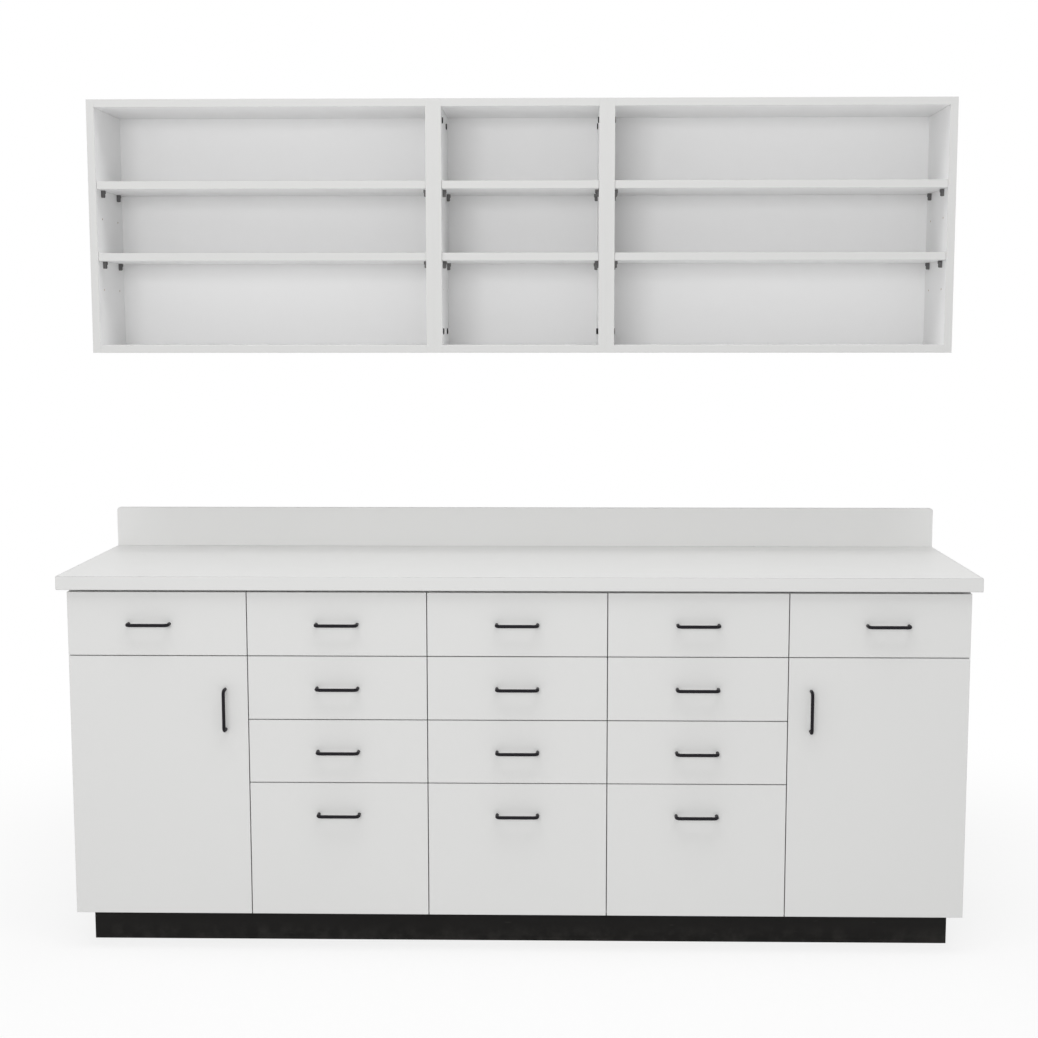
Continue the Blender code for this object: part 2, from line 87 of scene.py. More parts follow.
# A board's thickness, the width of the edge band that shows beside a face, and the rounding of edges.
BOARD = 0.019
BAND = 0.0009
EASE = 0.0006
FRONT_EASE = 0.0008
# The gap at which one piece seats on another.
SEAT = 0.0003
# Points nearer than this are one, and edges that turn by more than this angle are rounded.
MERGE = 0.000001
SHARP = math.radians(40)
# A face points a way if this share of its normal does.
FACING = 0.5

UP = Vector((0.0, 0.0, 1.0))
BACKWARDS = Vector((0.0, 1.0, 0.0))
RIGHTWARDS = Vector((1.0, 0.0, 0.0))
EVEN = (1.0, 1.0, 1.0)
PLAIN_WHITE = (1.0, 1.0, 1.0, 1.0)

Colour = tuple[float, float, float]
Point = tuple[float, float, float]
Span = tuple[float, float]
Outline = Sequence[Span]
Number = Union["Field", float]

# Radius and height of a screw's profile with its driver socket, as shares of its own sizes.
SCREW_PROFILE: Outline = (
    (0.0, -0.25), (1.0, -0.25), (1.0, 0.3), (0.8, 0.75), (0.42, 1.0), (0.315, 0.25), (0.0, 0.2),
)


class Axis(Enum):
    """The three directions of the shared frame."""

    X = 0
    Y = 1
    Z = 2

    def point(self, first: float, second: float, along: float) -> Vector:
        """A point from its two other coordinates, in order, and its place along this axis."""
        others = (first, second)
        return Vector((*others[:self.value], along, *others[self.value:]))


class Side(Enum):
    """A side of the cabinet, with the direction along X that leads inwards from it."""

    LEFT = 1
    RIGHT = -1

    @property
    def word(self) -> str:
        """The side's name in the names of pieces."""
        return self.name.lower()

    @property
    def inwards(self) -> Vector:
        """The way inwards from it."""
        return RIGHTWARDS * self.value


class Lay(Enum):
    """How a pull lies on its front, with the axis that it follows."""

    LEVEL = "x"
    UPRIGHT = "z"


class Skin(IntEnum):
    """Material slots of a piece made of boards."""

    FACE = 0
    BAND = 1
    BARE = 2
    METAL = 3


class Fitting(IntEnum):
    """Material slots of a piece of metal fittings."""

    SHEET = 0
    WHEEL = 1
    SCREW = 2


class Head(Enum):
    """Heads of screws and rivets: their radius, and how far they stand out."""

    ROUND = (0.004, 0.0016)
    PULL = (0.0045, 0.002)
    FLUSH = (0.003, 0.0003)
    RAIL = (0.0036, 0.0005)
    RIVET = (0.0032, 0.0008)
    CUP = (0.0038, 0.0012)
    ARM = (0.0034, 0.0016)


class Box(NamedTuple):
    """Two opposite corners of a block."""

    low: Vector
    high: Vector

    @classmethod
    def of(cls, node: str) -> Box:
        """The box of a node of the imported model."""
        return cls(*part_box(node))

    @property
    def middle(self) -> Vector:
        """The block's centre."""
        return (self.low + self.high) / 2

    def end(self, side: Side) -> float:
        """X of the block's end at a side."""
        return self.low.x if side is Side.LEFT else self.high.x

    def cut(self, **spans: Span) -> Box:
        """The same block with other ends along some axes.

        Args:
            spans: The two ends, in any order, by axis: x, y or z.

        Returns:
            The new block.
        """
        low, high = self.low.copy(), self.high.copy()
        for axis, (start, end) in spans.items():
            setattr(low, axis, min(start, end))
            setattr(high, axis, max(start, end))
        return Box(low, high)


def drawer_labels() -> list[str]:
    """Column letter and row number of every drawer, sorted."""
    drawers = (name for name in frame["bodies"] if name.startswith("drawer_"))
    return sorted(name.removeprefix("drawer_") for name in drawers)


def column_lines(letters: Sequence[str]) -> list[float]:
    """X of the lines between neighbouring columns."""
    fronts = [Box.of(f"drawer_front_{letter}1") for letter in letters]
    return [(left.high.x + right.low.x) / 2 for left, right in zip(fronts, fronts[1:])]


def linear(red: float, green: float, blue: float) -> Colour:
    """A screen colour, 0 to 255 a channel, as linear light from 0 to 1."""
    shares = [value / 255 for value in (red, green, blue)]
    return tuple(s / 12.92 if s <= 0.04045 else ((s + 0.055) / 1.055) ** 2.4 for s in shares)


def scaled(colour: Colour, factor: float) -> Colour:
    """A colour made lighter or darker."""
    return tuple(channel * factor for channel in colour)


def sized(shares: Outline, first: float, second: float) -> Outline:
    """An outline that is given as shares of two sizes."""
    return [(a * first, b * second) for a, b in shares]


def arc(centre: Span, radius: float, start: float, end: float, steps: int) -> Outline:
    """Points on an arc, from a first to a last angle in degrees."""
    angles = [math.radians(start + (end - start) * step / steps) for step in range(steps + 1)]
    return [(centre[0] + radius * math.cos(a), centre[1] + radius * math.sin(a)) for a in angles]


def oval(centre: Span, half: float, radius: float, steps: int) -> Outline:
    """An outline with round ends that reaches as far as half each way along its second axis."""
    high, low = ((centre[0], centre[1] + reach) for reach in (half - radius, radius - half))
    return [*arc(high, radius, 0, 180, steps), *arc(low, radius, 180, 360, steps)]


def only(kind: type, items: Iterable[Any]) -> list[Any]:
    """Those of some mesh elements that are of one kind."""
    return [item for item in items if isinstance(item, kind)]


class Field:
    """One socket of a shader graph. Python's operators on it add Math nodes."""

    def __init__(self, graph: Graph, socket: Optional[bpy.types.NodeSocket]) -> None:
        """Hold a socket and the graph that it belongs to."""
        self.graph = graph
        self.socket = socket

    def maths(self, operation: str, first: Number, second: Number) -> Field:
        """A Math node on two values."""
        return self.graph.node("ShaderNodeMath", {"operation": operation}, {0: first, 1: second})

    def __add__(self, other: Number) -> Field:
        """Sum."""
        return self.maths("ADD", self, other)

    def __sub__(self, other: Number) -> Field:
        """Difference."""
        return self.maths("SUBTRACT", self, other)

    def __rsub__(self, other: Number) -> Field:
        """Difference from a number."""
        return self.maths("SUBTRACT", other, self)

    def __mul__(self, other: Number) -> Field:
        """Product."""
        return self.maths("MULTIPLY", self, other)

    __radd__ = __add__
    __rmul__ = __mul__

    def larger(self, other: Number) -> Field:
        """The larger of two values."""
        return self.maths("MAXIMUM", self, other)

    def ramp(self, low: float, high: float) -> Field:
        """0 below low, 1 above high and smooth in between."""
        limits = {"Value": self, "From Min": low, "From Max": high}
        return self.graph.node("ShaderNodeMapRange", {"interpolation_type": "SMOOTHSTEP"}, limits)


class Noise(NamedTuple):
    """A layer of soft noise over a finish."""

    size: float  # about how large its features are, in metres
    detail: float = 2.0  # how many finer layers it has
    stretch: Point = EVEN  # how many times finer it is along each axis
    # where it forms patches, the values at which a patch begins and is full
    limits: Optional[Span] = None
    tone: float = 0.0  # its share in the change of colour
    rough: float = 0.0  # how far it moves the roughness

    @property
    def mean(self) -> float:
        """The value that leaves the roughness as it is."""
        return 0.0 if self.limits else 0.5


class Graph:
    """The shader graph of a material or of the world."""

    def __init__(self, owner: Union[bpy.types.Material, bpy.types.World]) -> None:
        """Start with an empty graph.

        Args:
            owner: The material or the world.
        """
        owner.use_nodes = True
        self.tree = owner.node_tree
        self.tree.nodes.clear()

    def node(
        self, kind: str, settings: Optional[Mapping[str, Any]] = None,
        sockets: Optional[Mapping[Union[str, int], Any]] = None, output: Union[str, int] = 0,
    ) -> Field:
        """Add a node.

        Args:
            kind: Type of the node.
            settings: Its own settings, set first.
            sockets: Values or links of its inputs, by name or number.
            output: Which of its outputs to return.

        Returns:
            The output, or a field with no socket where the node has none.
        """
        node = self.tree.nodes.new(kind)
        for key, value in (settings or {}).items():
            setattr(node, key, value)
        for key, value in (sockets or {}).items():
            if isinstance(value, Field):
                self.tree.links.new(value.socket, node.inputs[key])
            else:
                node.inputs[key].default_value = value
        return Field(self, node.outputs[output] if len(node.outputs) else None)

    def place(self, stretch: Point = EVEN) -> Field:
        """Object coordinates in metres, stretched along the axes."""
        metres = self.node("ShaderNodeTexCoord", output="Object")
        return self.node("ShaderNodeMapping", {}, {"Vector": metres, "Scale": stretch})

    def height(self) -> Field:
        """Height above the floor in metres."""
        return self.node("ShaderNodeSeparateXYZ", {}, {"Vector": self.place()}, "Z")

    def noise(self, noise: Noise) -> Field:
        """Add noise to the graph.

        Args:
            noise: What it is like.

        Returns:
            The noise, or its patches where it has limits.
        """
        sockets = {"Vector": self.place(noise.stretch), "Scale": 1.0 / noise.size, "Detail": noise.detail}
        field = self.node("ShaderNodeTexNoise", {}, sockets)
        return field.ramp(*noise.limits) if noise.limits else field

    def cells(self, size: float) -> Field:
        """Cells about as large as size, with a colour each."""
        sockets = {"Vector": self.place(), "Scale": 1.0 / size}
        return self.node("ShaderNodeTexVoronoi", {"feature": "F1"}, sockets, "Color")

    def mix(self, share: Number, first: Union[Field, Colour], second: Union[Field, Colour]) -> Field:
        """A colour between two others."""
        ends = [c if isinstance(c, Field) else (*c, 1.0) for c in (first, second)]
        return self.node("ShaderNodeMix", {"data_type": "RGBA"}, {0: share, 6: ends[0], 7: ends[1]}, 2)

    def seen(self) -> Field:
        """1 for rays from the camera, in gloss and through what is clear, otherwise 0."""
        camera, gloss, clear = (
            self.node("ShaderNodeLightPath", output=f"Is {kind} Ray")
            for kind in ("Camera", "Glossy", "Transmission")
        )
        return camera.larger(gloss).larger(clear)


class Surface(NamedTuple):
    """What changes over a finish: colour, roughness, and the height of its fine texture."""

    colour: Field
    roughness: Field
    height: Field


@dataclass(frozen=True)
class Finish(ABC):
    """A finish of one kind of material."""

    name: str
    colour: Colour  # in linear light
    roughness: float  # in the mean
    relief: float = 0.00002  # depth of its fine texture in metres
    specular: float = 0.5  # strength of its clear reflection, where 0.5 is a usual plastic
    metallic: float = 0.0  # 1 for bare metal

    @abstractmethod
    def surface(self, graph: Graph) -> Surface:
        """What changes over the surface."""

    @lru_cache(maxsize=None)
    def material(self) -> bpy.types.Material:
        """Make the finish's material.

        Returns:
            The material, the same one for every call.
        """
        material = bpy.data.materials.new(self.name)
        graph = Graph(material)
        surface = self.surface(graph)
        relief = {"Height": surface.height, "Distance": self.relief, "Strength": 1.0}
        shader = graph.node("ShaderNodeBsdfPrincipled", {}, {
            "Base Color": surface.colour, "Roughness": surface.roughness, "Metallic": self.metallic,
            "Specular IOR Level": self.specular, "Normal": graph.node("ShaderNodeBump", {}, relief),
        })
        graph.node("ShaderNodeOutputMaterial", {}, {"Surface": shader})
        return material


@dataclass(frozen=True)
class Layered(Finish):
    """A finish whose colour and roughness follow layers of noise."""

    # how much lighter high noise makes the colour, and low noise darker; below 0, the other way round
    tone: float = 0.0

    @abstractmethod
    def layers(self) -> Sequence[Noise]:
        """The layers, of which the first is also the fine texture."""

    def surface(self, graph: Graph) -> Surface:
        """Add up what the layers do.

        Args:
            graph: The material's graph.

        Returns:
            What changes over the surface.
        """
        share, roughness, heights = 0.0, self.roughness, []
        for layer in self.layers():
            height = graph.noise(layer)
            if layer.tone:
                share = layer.tone * height + share
            if layer.rough:
                roughness = layer.rough * (height - layer.mean) + roughness
            heights.append(height)
        low, high = scaled(self.colour, 1 - self.tone), scaled(self.colour, 1 + self.tone)
        return Surface(graph.mix(share, low, high), roughness, heights[0])


@dataclass(frozen=True)
class Laminate(Layered):
    """A pressed sheet."""

    tone: float = 0.012
    pebble: float = 0.0012  # size of its fine pebble in metres

    def layers(self) -> Sequence[Noise]:
        """A fine pebble, slow clouds, and faint rubbed marks that are a little smoother."""
        marks = Noise(0.11, 1.0, (1.0, 1.0, 5.0), (0.56, 0.74), rough=-0.042)
        return Noise(self.pebble, 0.0, tone=0.25), Noise(0.45, 1.0, tone=0.75, rough=0.07), marks


@dataclass(frozen=True)
class ScuffedLaminate(Laminate):
    """Dark laminate near the floor, with dust along its foot and pale shoe scuffs."""

    dirt: Colour = (0.06, 0.057, 0.053)  # colour of the dust
    reach: float = 0.05  # height up to which dust lies
    dust: Noise = Noise(0.03, 3.0, limits=(0.35, 0.75), tone=0.35)  # patches of dust
    scuffs: Noise = Noise(0.05, 2.0, (1.0, 1.0, 4.0), (0.68, 0.76), tone=0.2)  # marks of shoes
    dull: float = 0.3  # how much rougher both are

    def surface(self, graph: Graph) -> Surface:
        """Dust and scuffs over the plain laminate.

        Args:
            graph: The material's graph.

        Returns:
            What changes over the sheet.
        """
        plain = super().surface(graph)
        low = 1.0 - graph.height().ramp(0.0, self.reach)
        dust = low * graph.noise(self.dust) * self.dust.tone
        share = dust.larger(graph.noise(self.scuffs) * self.scuffs.tone)
        colour = graph.mix(share, plain.colour, self.dirt)
        return Surface(colour, plain.roughness + self.dull * share, plain.height)


@dataclass(frozen=True)
class Coated(Layered):
    """Sprayed and baked coating."""

    tone: float = -0.08

    def layers(self) -> Sequence[Noise]:
        """The peel of fine drops, and handled places, which are smoother and a little darker."""
        handled = Noise(0.03, 1.0, limits=(0.4, 0.7), tone=0.6, rough=-0.06)
        return Noise(0.0008, 1.0, tone=0.4, rough=0.12), handled


@dataclass(frozen=True)
class Plated(Layered):
    """Plated steel sheet."""

    tone: float = -0.12

    def layers(self) -> Sequence[Noise]:
        """Drawing lines along the depth, and dull spots, which are rougher."""
        spots = Noise(0.006, 2.0, limits=(0.5, 0.75), tone=0.4, rough=0.15)
        return Noise(0.0005, 1.0, (1.0, 0.04, 1.0), tone=0.6, rough=0.1), spots


@dataclass(frozen=True)
class Moulded(Layered):
    """Moulded plastic."""

    tone: float = 0.06

    def layers(self) -> Sequence[Noise]:
        """A fine spark texture and slow flow marks."""
        return Noise(0.0004, 0.0, rough=0.15), Noise(0.008, 1.0, (1.0, 1.0, 2.0), tone=1.0)


@dataclass(frozen=True)
class Chipboard(Finish):
    """Bare sawn particle board: chips of many tones with dark pores."""

    chip: float = 0.0016  # size of a chip in metres
    pore: float = 0.7  # size of a pore, as a share of that
    pores: Span = (0.5, 0.72)  # values of the noise at which a pore begins and is full
    weights: Span = (0.55, 0.6)  # how much the chips and the pores darken
    polish: float = 0.1  # how much smoother the darkest chips are
    dark: Colour = (0.13, 0.075, 0.035)  # colour of the darkest chips

    def surface(self, graph: Graph) -> Surface:
        """Each chip has its own tone, and pores lie between them.

        Args:
            graph: The material's graph.

        Returns:
            What changes over the board.
        """
        chips = graph.node("ShaderNodeSeparateColor", {}, {"Color": graph.cells(self.chip)})
        pores = graph.noise(Noise(self.pore * self.chip))
        share = self.weights[0] * chips + self.weights[1] * pores.ramp(*self.pores)
        colour = graph.mix(share, self.colour, self.dark)
        return Surface(colour, self.roughness - self.polish * chips, pores)


WHITE_LAMINATE = Laminate("white_front_laminate", linear(212, 212, 211), 0.44)
WHITE_BAND = Laminate(
    "white_edge_band", linear(206, 206, 205), 0.38, specular=0.15, pebble=0.0007, tone=0.006
)
# White of the carcasses, drawer boxes and shelves, painted lighter than the fronts' white: painted light
# that stands in for light the lamps don't bring into the bays and boxes.
LIGHTENED_MELAMINE = Laminate("white_melamine", linear(243, 243, 243), 0.5, pebble=0.0009)
# Counter white, painted lighter than the fronts' white: painted light that stands in for light on the
# deck.
LIGHTENED_COUNTER_LAMINATE = Laminate(
    "white_counter_laminate", linear(226, 226, 225), 0.42, specular=0.25, pebble=0.0016
)
BLACK_LAMINATE = ScuffedLaminate(
    "black_plinth_laminate", linear(24, 23, 22), 0.55, specular=0.15, tone=0.05
)
BLACK_WIRE = Coated("black_wire_coating", linear(29, 27, 31), 0.5, specular=0.12)
WHITE_ENAMEL = Coated("white_slide_enamel", linear(224, 224, 220), 0.36, tone=-0.02)
ZINC = Plated("zinc_plated_steel", linear(168, 170, 174), 0.34, metallic=1.0)
# Nickel of the shelf clips, darkened below the bright nickel: partly the plating's own dullness, partly
# painted shade from inside the bays.
DULL_NICKEL_AND_SHADE = Plated("dull_nickel_clip", linear(120, 119, 119), 0.5, metallic=1.0)
NICKEL = Plated("bright_nickel_steel", linear(190, 188, 182), 0.24, metallic=1.0)
NYLON = Moulded("ivory_nylon", linear(214, 211, 200), 0.5)
BLACK_PLASTIC = Moulded("black_cap_plastic", linear(30, 29, 31), 0.45, specular=0.2)
BARE_BOARD = Chipboard("bare_particle_board", linear(196, 166, 124), 0.85, relief=0.00015)

# Finishes of the slots of Skin, and of Fitting.
MELAMINE_BOARDS = (LIGHTENED_MELAMINE, WHITE_BAND, BARE_BOARD, ZINC)
LAMINATE_BOARDS = (WHITE_LAMINATE, WHITE_BAND, BARE_BOARD, ZINC)
SLIDE_METALS = (WHITE_ENAMEL, NYLON, ZINC)
HINGE_METALS = (NICKEL, ZINC, ZINC)


def faces_any(face: bmesh.types.BMFace, ways: Iterable[Vector]) -> bool:
    """Whether a face points one of these ways."""
    return any(face.normal.dot(way) > FACING for way in ways)


class Shape:
    """A mesh in the making. Each form is shaped by bmesh operators by itself and then joined to it."""

    def __init__(self) -> None:
        """Start empty."""
        self.mesh = bmesh.new()

    def join(self, form: bmesh.types.BMesh) -> None:
        """Take in a finished form.

        Args:
            form: The form, which is freed.
        """
        carrier = bpy.data.meshes.new("form")
        form.to_mesh(carrier)
        form.free()
        self.mesh.from_mesh(carrier)
        bpy.data.meshes.remove(carrier)

    def settle(
        self, form: bmesh.types.BMesh, place: Matrix, slot: int = 0, smooth: bool = True
    ) -> None:
        """Close a form's seams, put it in its place, give it its finish and take it in.

        Args:
            form: The form.
            place: Where it goes.
            slot: Its material slot.
            smooth: Whether its faces are shaded smooth.
        """
        bmesh.ops.remove_doubles(form, verts=form.verts, dist=MERGE)
        bmesh.ops.transform(form, matrix=place, verts=form.verts)
        bmesh.ops.recalc_face_normals(form, faces=form.faces)
        for face in form.faces:
            face.material_index = slot
            face.smooth = smooth and len(face.verts) <= 4
        self.join(form)

    @staticmethod
    def soften(form: bmesh.types.BMesh, edges: Iterable[bmesh.types.BMEdge], width: float) -> None:
        """Round edges of a form.

        Args:
            form: The form.
            edges: The edges.
            width: Width of the rounding.
        """
        rounded = bmesh.ops.bevel(
            form, geom=list(edges), offset=width, affect="EDGES", segments=2, profile=0.5, material=-1,
        )
        for face in rounded["faces"]:
            face.smooth = True

    def board(
        self, box: Box, bare: Iterable[Vector] = (), ease: float = EASE, outer: Iterable[Vector] = ()
    ) -> None:
        """Add a board with eased, banded edges.

        Args:
            box: Its two corners.
            bare: Directions of the faces that are sawn or raw.
            ease: Rounding of its edges.
            outer: Directions of the faces on the outside, which are finished like the bands.
        """
        size = box.high - box.low
        thin = min(range(3), key=lambda axis: size[axis])
        form = bmesh.new()
        place = Matrix.Translation(box.middle) @ Matrix.Diagonal((*size, 1.0))
        bmesh.ops.create_cube(form, size=1.0, matrix=place)
        form.normal_update()
        for face in form.faces:
            inner = abs(face.normal[thin]) > FACING and not faces_any(face, outer)
            face.material_index = Skin.FACE if inner else Skin.BAND
            if faces_any(face, bare):
                face.material_index = Skin.BARE
        edges = form.edges[:]
        broad = [face for face in form.faces if face.material_index == Skin.FACE]
        rims = bmesh.ops.inset_individual(form, faces=broad, thickness=BAND, use_even_offset=True)
        for face in rims["faces"]:
            face.material_index = Skin.BAND
        self.soften(form, edges, ease)
        self.join(form)

    def turned(
        self, profile: Outline, foot: Vector, along: Vector, slot: int = 0, steps: int = 16
    ) -> None:
        """Add a closed body of revolution.

        Args:
            profile: (radius, height) points that start and end on its axis.
            foot: Where height 0 lies on the axis.
            along: Direction of the axis.
            slot: Material slot.
            steps: Number of sides.
        """
        form = bmesh.new()
        points = [form.verts.new((radius, 0.0, height)) for radius, height in profile]
        edges = [form.edges.new(ends) for ends in zip(points, points[1:])]
        bmesh.ops.spin(
            form, geom=points + edges, cent=(0, 0, 0), axis=UP, angle=2 * math.pi, steps=steps,
            use_merge=True,
        )
        place = Matrix.Translation(foot) @ along.to_track_quat("Z", "Y").to_matrix().to_4x4()
        self.settle(form, place, slot)

    def drawn(
        self, outline: Outline, axis: Axis, start: float, end: float, slot: int = 0, ease: float = 0.0
    ) -> None:
        """Add a flat outline drawn out along an axis.

        Args:
            outline: Its points in the two other axes, in order.
            axis: The axis.
            start: Where it begins.
            end: Where it ends.
            slot: Material slot.
            ease: Rounding of its edges.
        """
        form = bmesh.new()
        section = form.faces.new([form.verts.new(axis.point(a, b, start)) for a, b in outline])
        grown = bmesh.ops.extrude_face_region(form, geom=[section], use_keep_orig=True)["geom"]
        far = only(bmesh.types.BMVert, grown)
        bmesh.ops.translate(form, verts=far, vec=axis.point(0.0, 0.0, end - start))
        bmesh.ops.recalc_face_normals(form, faces=form.faces)
        if ease:
            self.soften(form, [edge for edge in form.edges if edge.calc_face_angle(0.0) > SHARP], ease)
        for face in form.faces:
            face.material_index = slot
        self.join(form)

    def screw(self, point: Vector, along: Vector, slot: int, head: Head = Head.ROUND) -> None:
        """Add a screw or rivet that sits at a point of a surface and faces along a direction."""
        self.turned(sized(SCREW_PROFILE, *head.value), point, along, slot, steps=12)

    def to_mesh(self, name: str) -> bpy.types.Mesh:
        """Turn the shape into a mesh.

        Args:
            name: Name of the mesh.

        Returns:
            The mesh. The shape itself is freed.
        """
        mesh = bpy.data.meshes.new(name)
        self.mesh.to_mesh(mesh)
        self.mesh.free()
        return mesh


def hang(name: str, data: bpy.types.ID) -> bpy.types.Object:
    """Add an object to the scene.

    Args:
        name: Its name.
        data: Its mesh, lamp or camera.

    Returns:
        The object, at the origin.
    """
    thing = bpy.data.objects.new(name, data)
    bpy.context.scene.collection.objects.link(thing)
    return thing


def put(name: str, shape: Shape, finishes: Sequence[Finish]) -> bpy.types.Object:
    """Make a shape an object of the scene.

    Args:
        name: Name of the piece.
        shape: Its shape.
        finishes: Finishes of its material slots.

    Returns:
        The object, at the origin.
    """
    mesh = shape.to_mesh(name)
    for finish in finishes:
        mesh.materials.append(finish.material())
    return hang(name, mesh)


def carve(piece: bpy.types.Object, holes: Shape) -> None:
    """Cut closed shapes out of a piece for good.

    Args:
        piece: The piece.
        holes: The shapes, whose material slots are those of the cut faces.
    """
    tool = hang("holes", holes.to_mesh("holes"))
    modifier = piece.modifiers.new("holes", "BOOLEAN")
    modifier.object = tool
    modifier.solver = "EXACT"
    graph = bpy.context.evaluated_depsgraph_get()
    carved = bpy.data.meshes.new_from_object(piece.evaluated_get(graph))
    piece.modifiers.clear()
    whole, piece.data = piece.data, carved
    bpy.data.meshes.remove(whole)
    bpy.data.objects.remove(tool)


class SubAssembly(ABC):
    """A group of pieces that belong together."""

    @property
    def body(self) -> str:
        """The body that the pieces ride on."""
        return CABINET

    @abstractmethod
    def build(self) -> None:
        """Make the pieces and dress them."""

    def add(
        self, name: str, shape: Shape, finishes: Sequence[Finish], stands_for: Optional[str] = None,
        slot: Optional[str] = None, body: Optional[str] = None,
    ) -> bpy.types.Object:
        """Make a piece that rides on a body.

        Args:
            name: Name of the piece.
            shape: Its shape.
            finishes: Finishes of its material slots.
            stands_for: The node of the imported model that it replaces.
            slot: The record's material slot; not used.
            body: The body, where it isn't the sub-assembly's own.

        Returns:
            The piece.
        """
        piece, body = put(name, shape, finishes), body or self.body
        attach(piece, body)
        if stands_for:
            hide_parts(stands_for)
        LOG.info("%s: %d faces on %s", name, len(piece.data.polygons), body)
        return piece


class Track(NamedTuple):
    """Where one half of a drawer's slide goes."""

    side: Side
    board: float  # X of the carcass board's face
    bottom: float  # height of the box's underside
    start: float  # Y of its front end
    end: float  # Y of its rear end

    def section(self, outline: Outline) -> Outline:
        """X and Z of points given by how far they are from the board and above the box's underside."""
        return [(self.board + self.side.value * out, self.bottom + up) for out, up in outline]

    def point(self, out: float, y: float, up: float) -> Vector:
        """A point at these distances from the board and above the box's underside."""
        return Axis.Y.point(*self.section([(out, up)])[0], y)

    def along(self, share: float) -> float:
        """Y at a share of the length."""
        return self.start + share * (self.end - self.start)


@dataclass(frozen=True)
class RollerSlide:
    """A slide of bent sheet: a channel rail on the carcass and a runner under the drawer box."""

    space: float = 0.0127  # width beside the box that both halves share
    sheet: float = 0.0015  # thickness of the sheet
    play: float = 0.001  # gap between what moves
    rise: float = 0.0025  # how far the rail's foot lies above the box's underside
    lip: float = 0.0045  # width of the rail's upper lip
    flange: float = 0.010  # width of the runner under the box
    wheel: float = 0.012  # radius of a roller
    wheel_gap: float = 0.0008  # gap between the runner's roller and the rail
    inset: float = 0.020  # distance of a roller's centre from the end
    short: float = 0.0063  # how much the rail ends before the box
    notch: float = 0.016  # how far the rail's lip stays clear of the roller's centre
    # places of the rail's screws, as shares of its length
    rail_screws: tuple[float, ...] = (0.12, 0.5, 0.9)
    runner_screws: tuple[float, ...] = (0.1, 0.45, 0.85)  # places of the runner's screws

    @property
    def height(self) -> float:
        """Height of the rail."""
        return 2 * (self.wheel + self.sheet) + SEAT + self.play

    @property
    def edge(self) -> float:
        """Distance of the runner's lip from the carcass board."""
        return self.sheet + self.play

    @property
    def web(self) -> float:
        """Distance of the runner's upright from the carcass board."""
        return self.space - self.sheet

    @property
    def foot(self) -> float:
        """Width of the rail's foot."""
        return self.web - 2 * self.play

    def roller(self, shape: Shape, start: Vector, along: Vector, width: float) -> None:
        """Add a nylon roller on its rivet.

        Args:
            shape: The shape to add it to.
            start: Middle of the face that lies against the sheet.
            along: Direction of its axle.
            width: Its width.
        """
        rim, hub, dish = 0.001, 0.0045, 0.0008
        profile = [
            (0.0, 0.0), (self.wheel - rim, 0.0), (self.wheel, rim), (self.wheel, width - rim),
            (self.wheel - rim, width), (1.6 * hub, width), (1.5 * hub, width - dish),
            (hub, width - dish), (0.9 * hub, width), (0.0, width),
        ]
        shape.turned(profile, start, along, Fitting.WHEEL, steps=24)
        shape.screw(start + along * width, along, Fitting.SCREW, Head.RIVET)

    def rail(self, shape: Shape, track: Track) -> None:
        """Add the carcass half.

        Args:
            shape: The shape to add it to.
            track: Where it goes.
        """
        low, top, foot, sheet = self.rise, self.rise + self.height, self.foot, self.sheet
        over, under, hook = low + sheet, top - sheet, sheet + self.lip
        angle = [(0.0, low), (foot, low), (foot, over), (sheet, over), (sheet, top), (0.0, top)]
        channel = [*angle[:4], (sheet, under), (hook, under), (hook, top), (0.0, top)]
        wheel = track.start + self.inset
        step = wheel + self.notch
        for outline, start, end in ((angle, track.start, step), (channel, step, track.end)):
            shape.drawn(track.section(outline), Axis.Y, start, end, Fitting.SHEET)
        away = track.side.inwards
        self.roller(shape, track.point(sheet, wheel, top + self.play - self.wheel), away, foot - sheet)
        for share in self.rail_screws:
            head = track.point(sheet, track.along(share), (low + top) / 2)
            shape.screw(head, away, Fitting.SCREW, Head.RAIL)

    def runner(self, shape: Shape, track: Track) -> None:
        """Add the drawer half.

        Args:
            shape: The shape to add it to.
            track: Where it goes.
        """
        web, edge, space, sheet = self.web, self.edge, self.space, self.sheet
        lip = self.rise + self.height + self.play + SEAT
        top, reach = lip + sheet, space + self.flange
        outline = [
            (web, -sheet), (reach, -sheet), (reach, 0.0), (space, 0.0), (space, top), (edge, top),
            (edge, lip), (web, lip),
        ]
        shape.drawn(track.section(outline), Axis.Y, track.start, track.end, Fitting.SHEET)
        wheel = track.point(web, track.end - self.inset, self.rise + sheet + SEAT + self.wheel)
        self.roller(shape, wheel, -track.side.inwards, web - edge - self.wheel_gap)
        for share in self.runner_screws:
            head = track.point(space + self.flange / 2, track.along(share), -sheet)
            shape.screw(head, -UP, Fitting.SCREW, Head.RIVET)


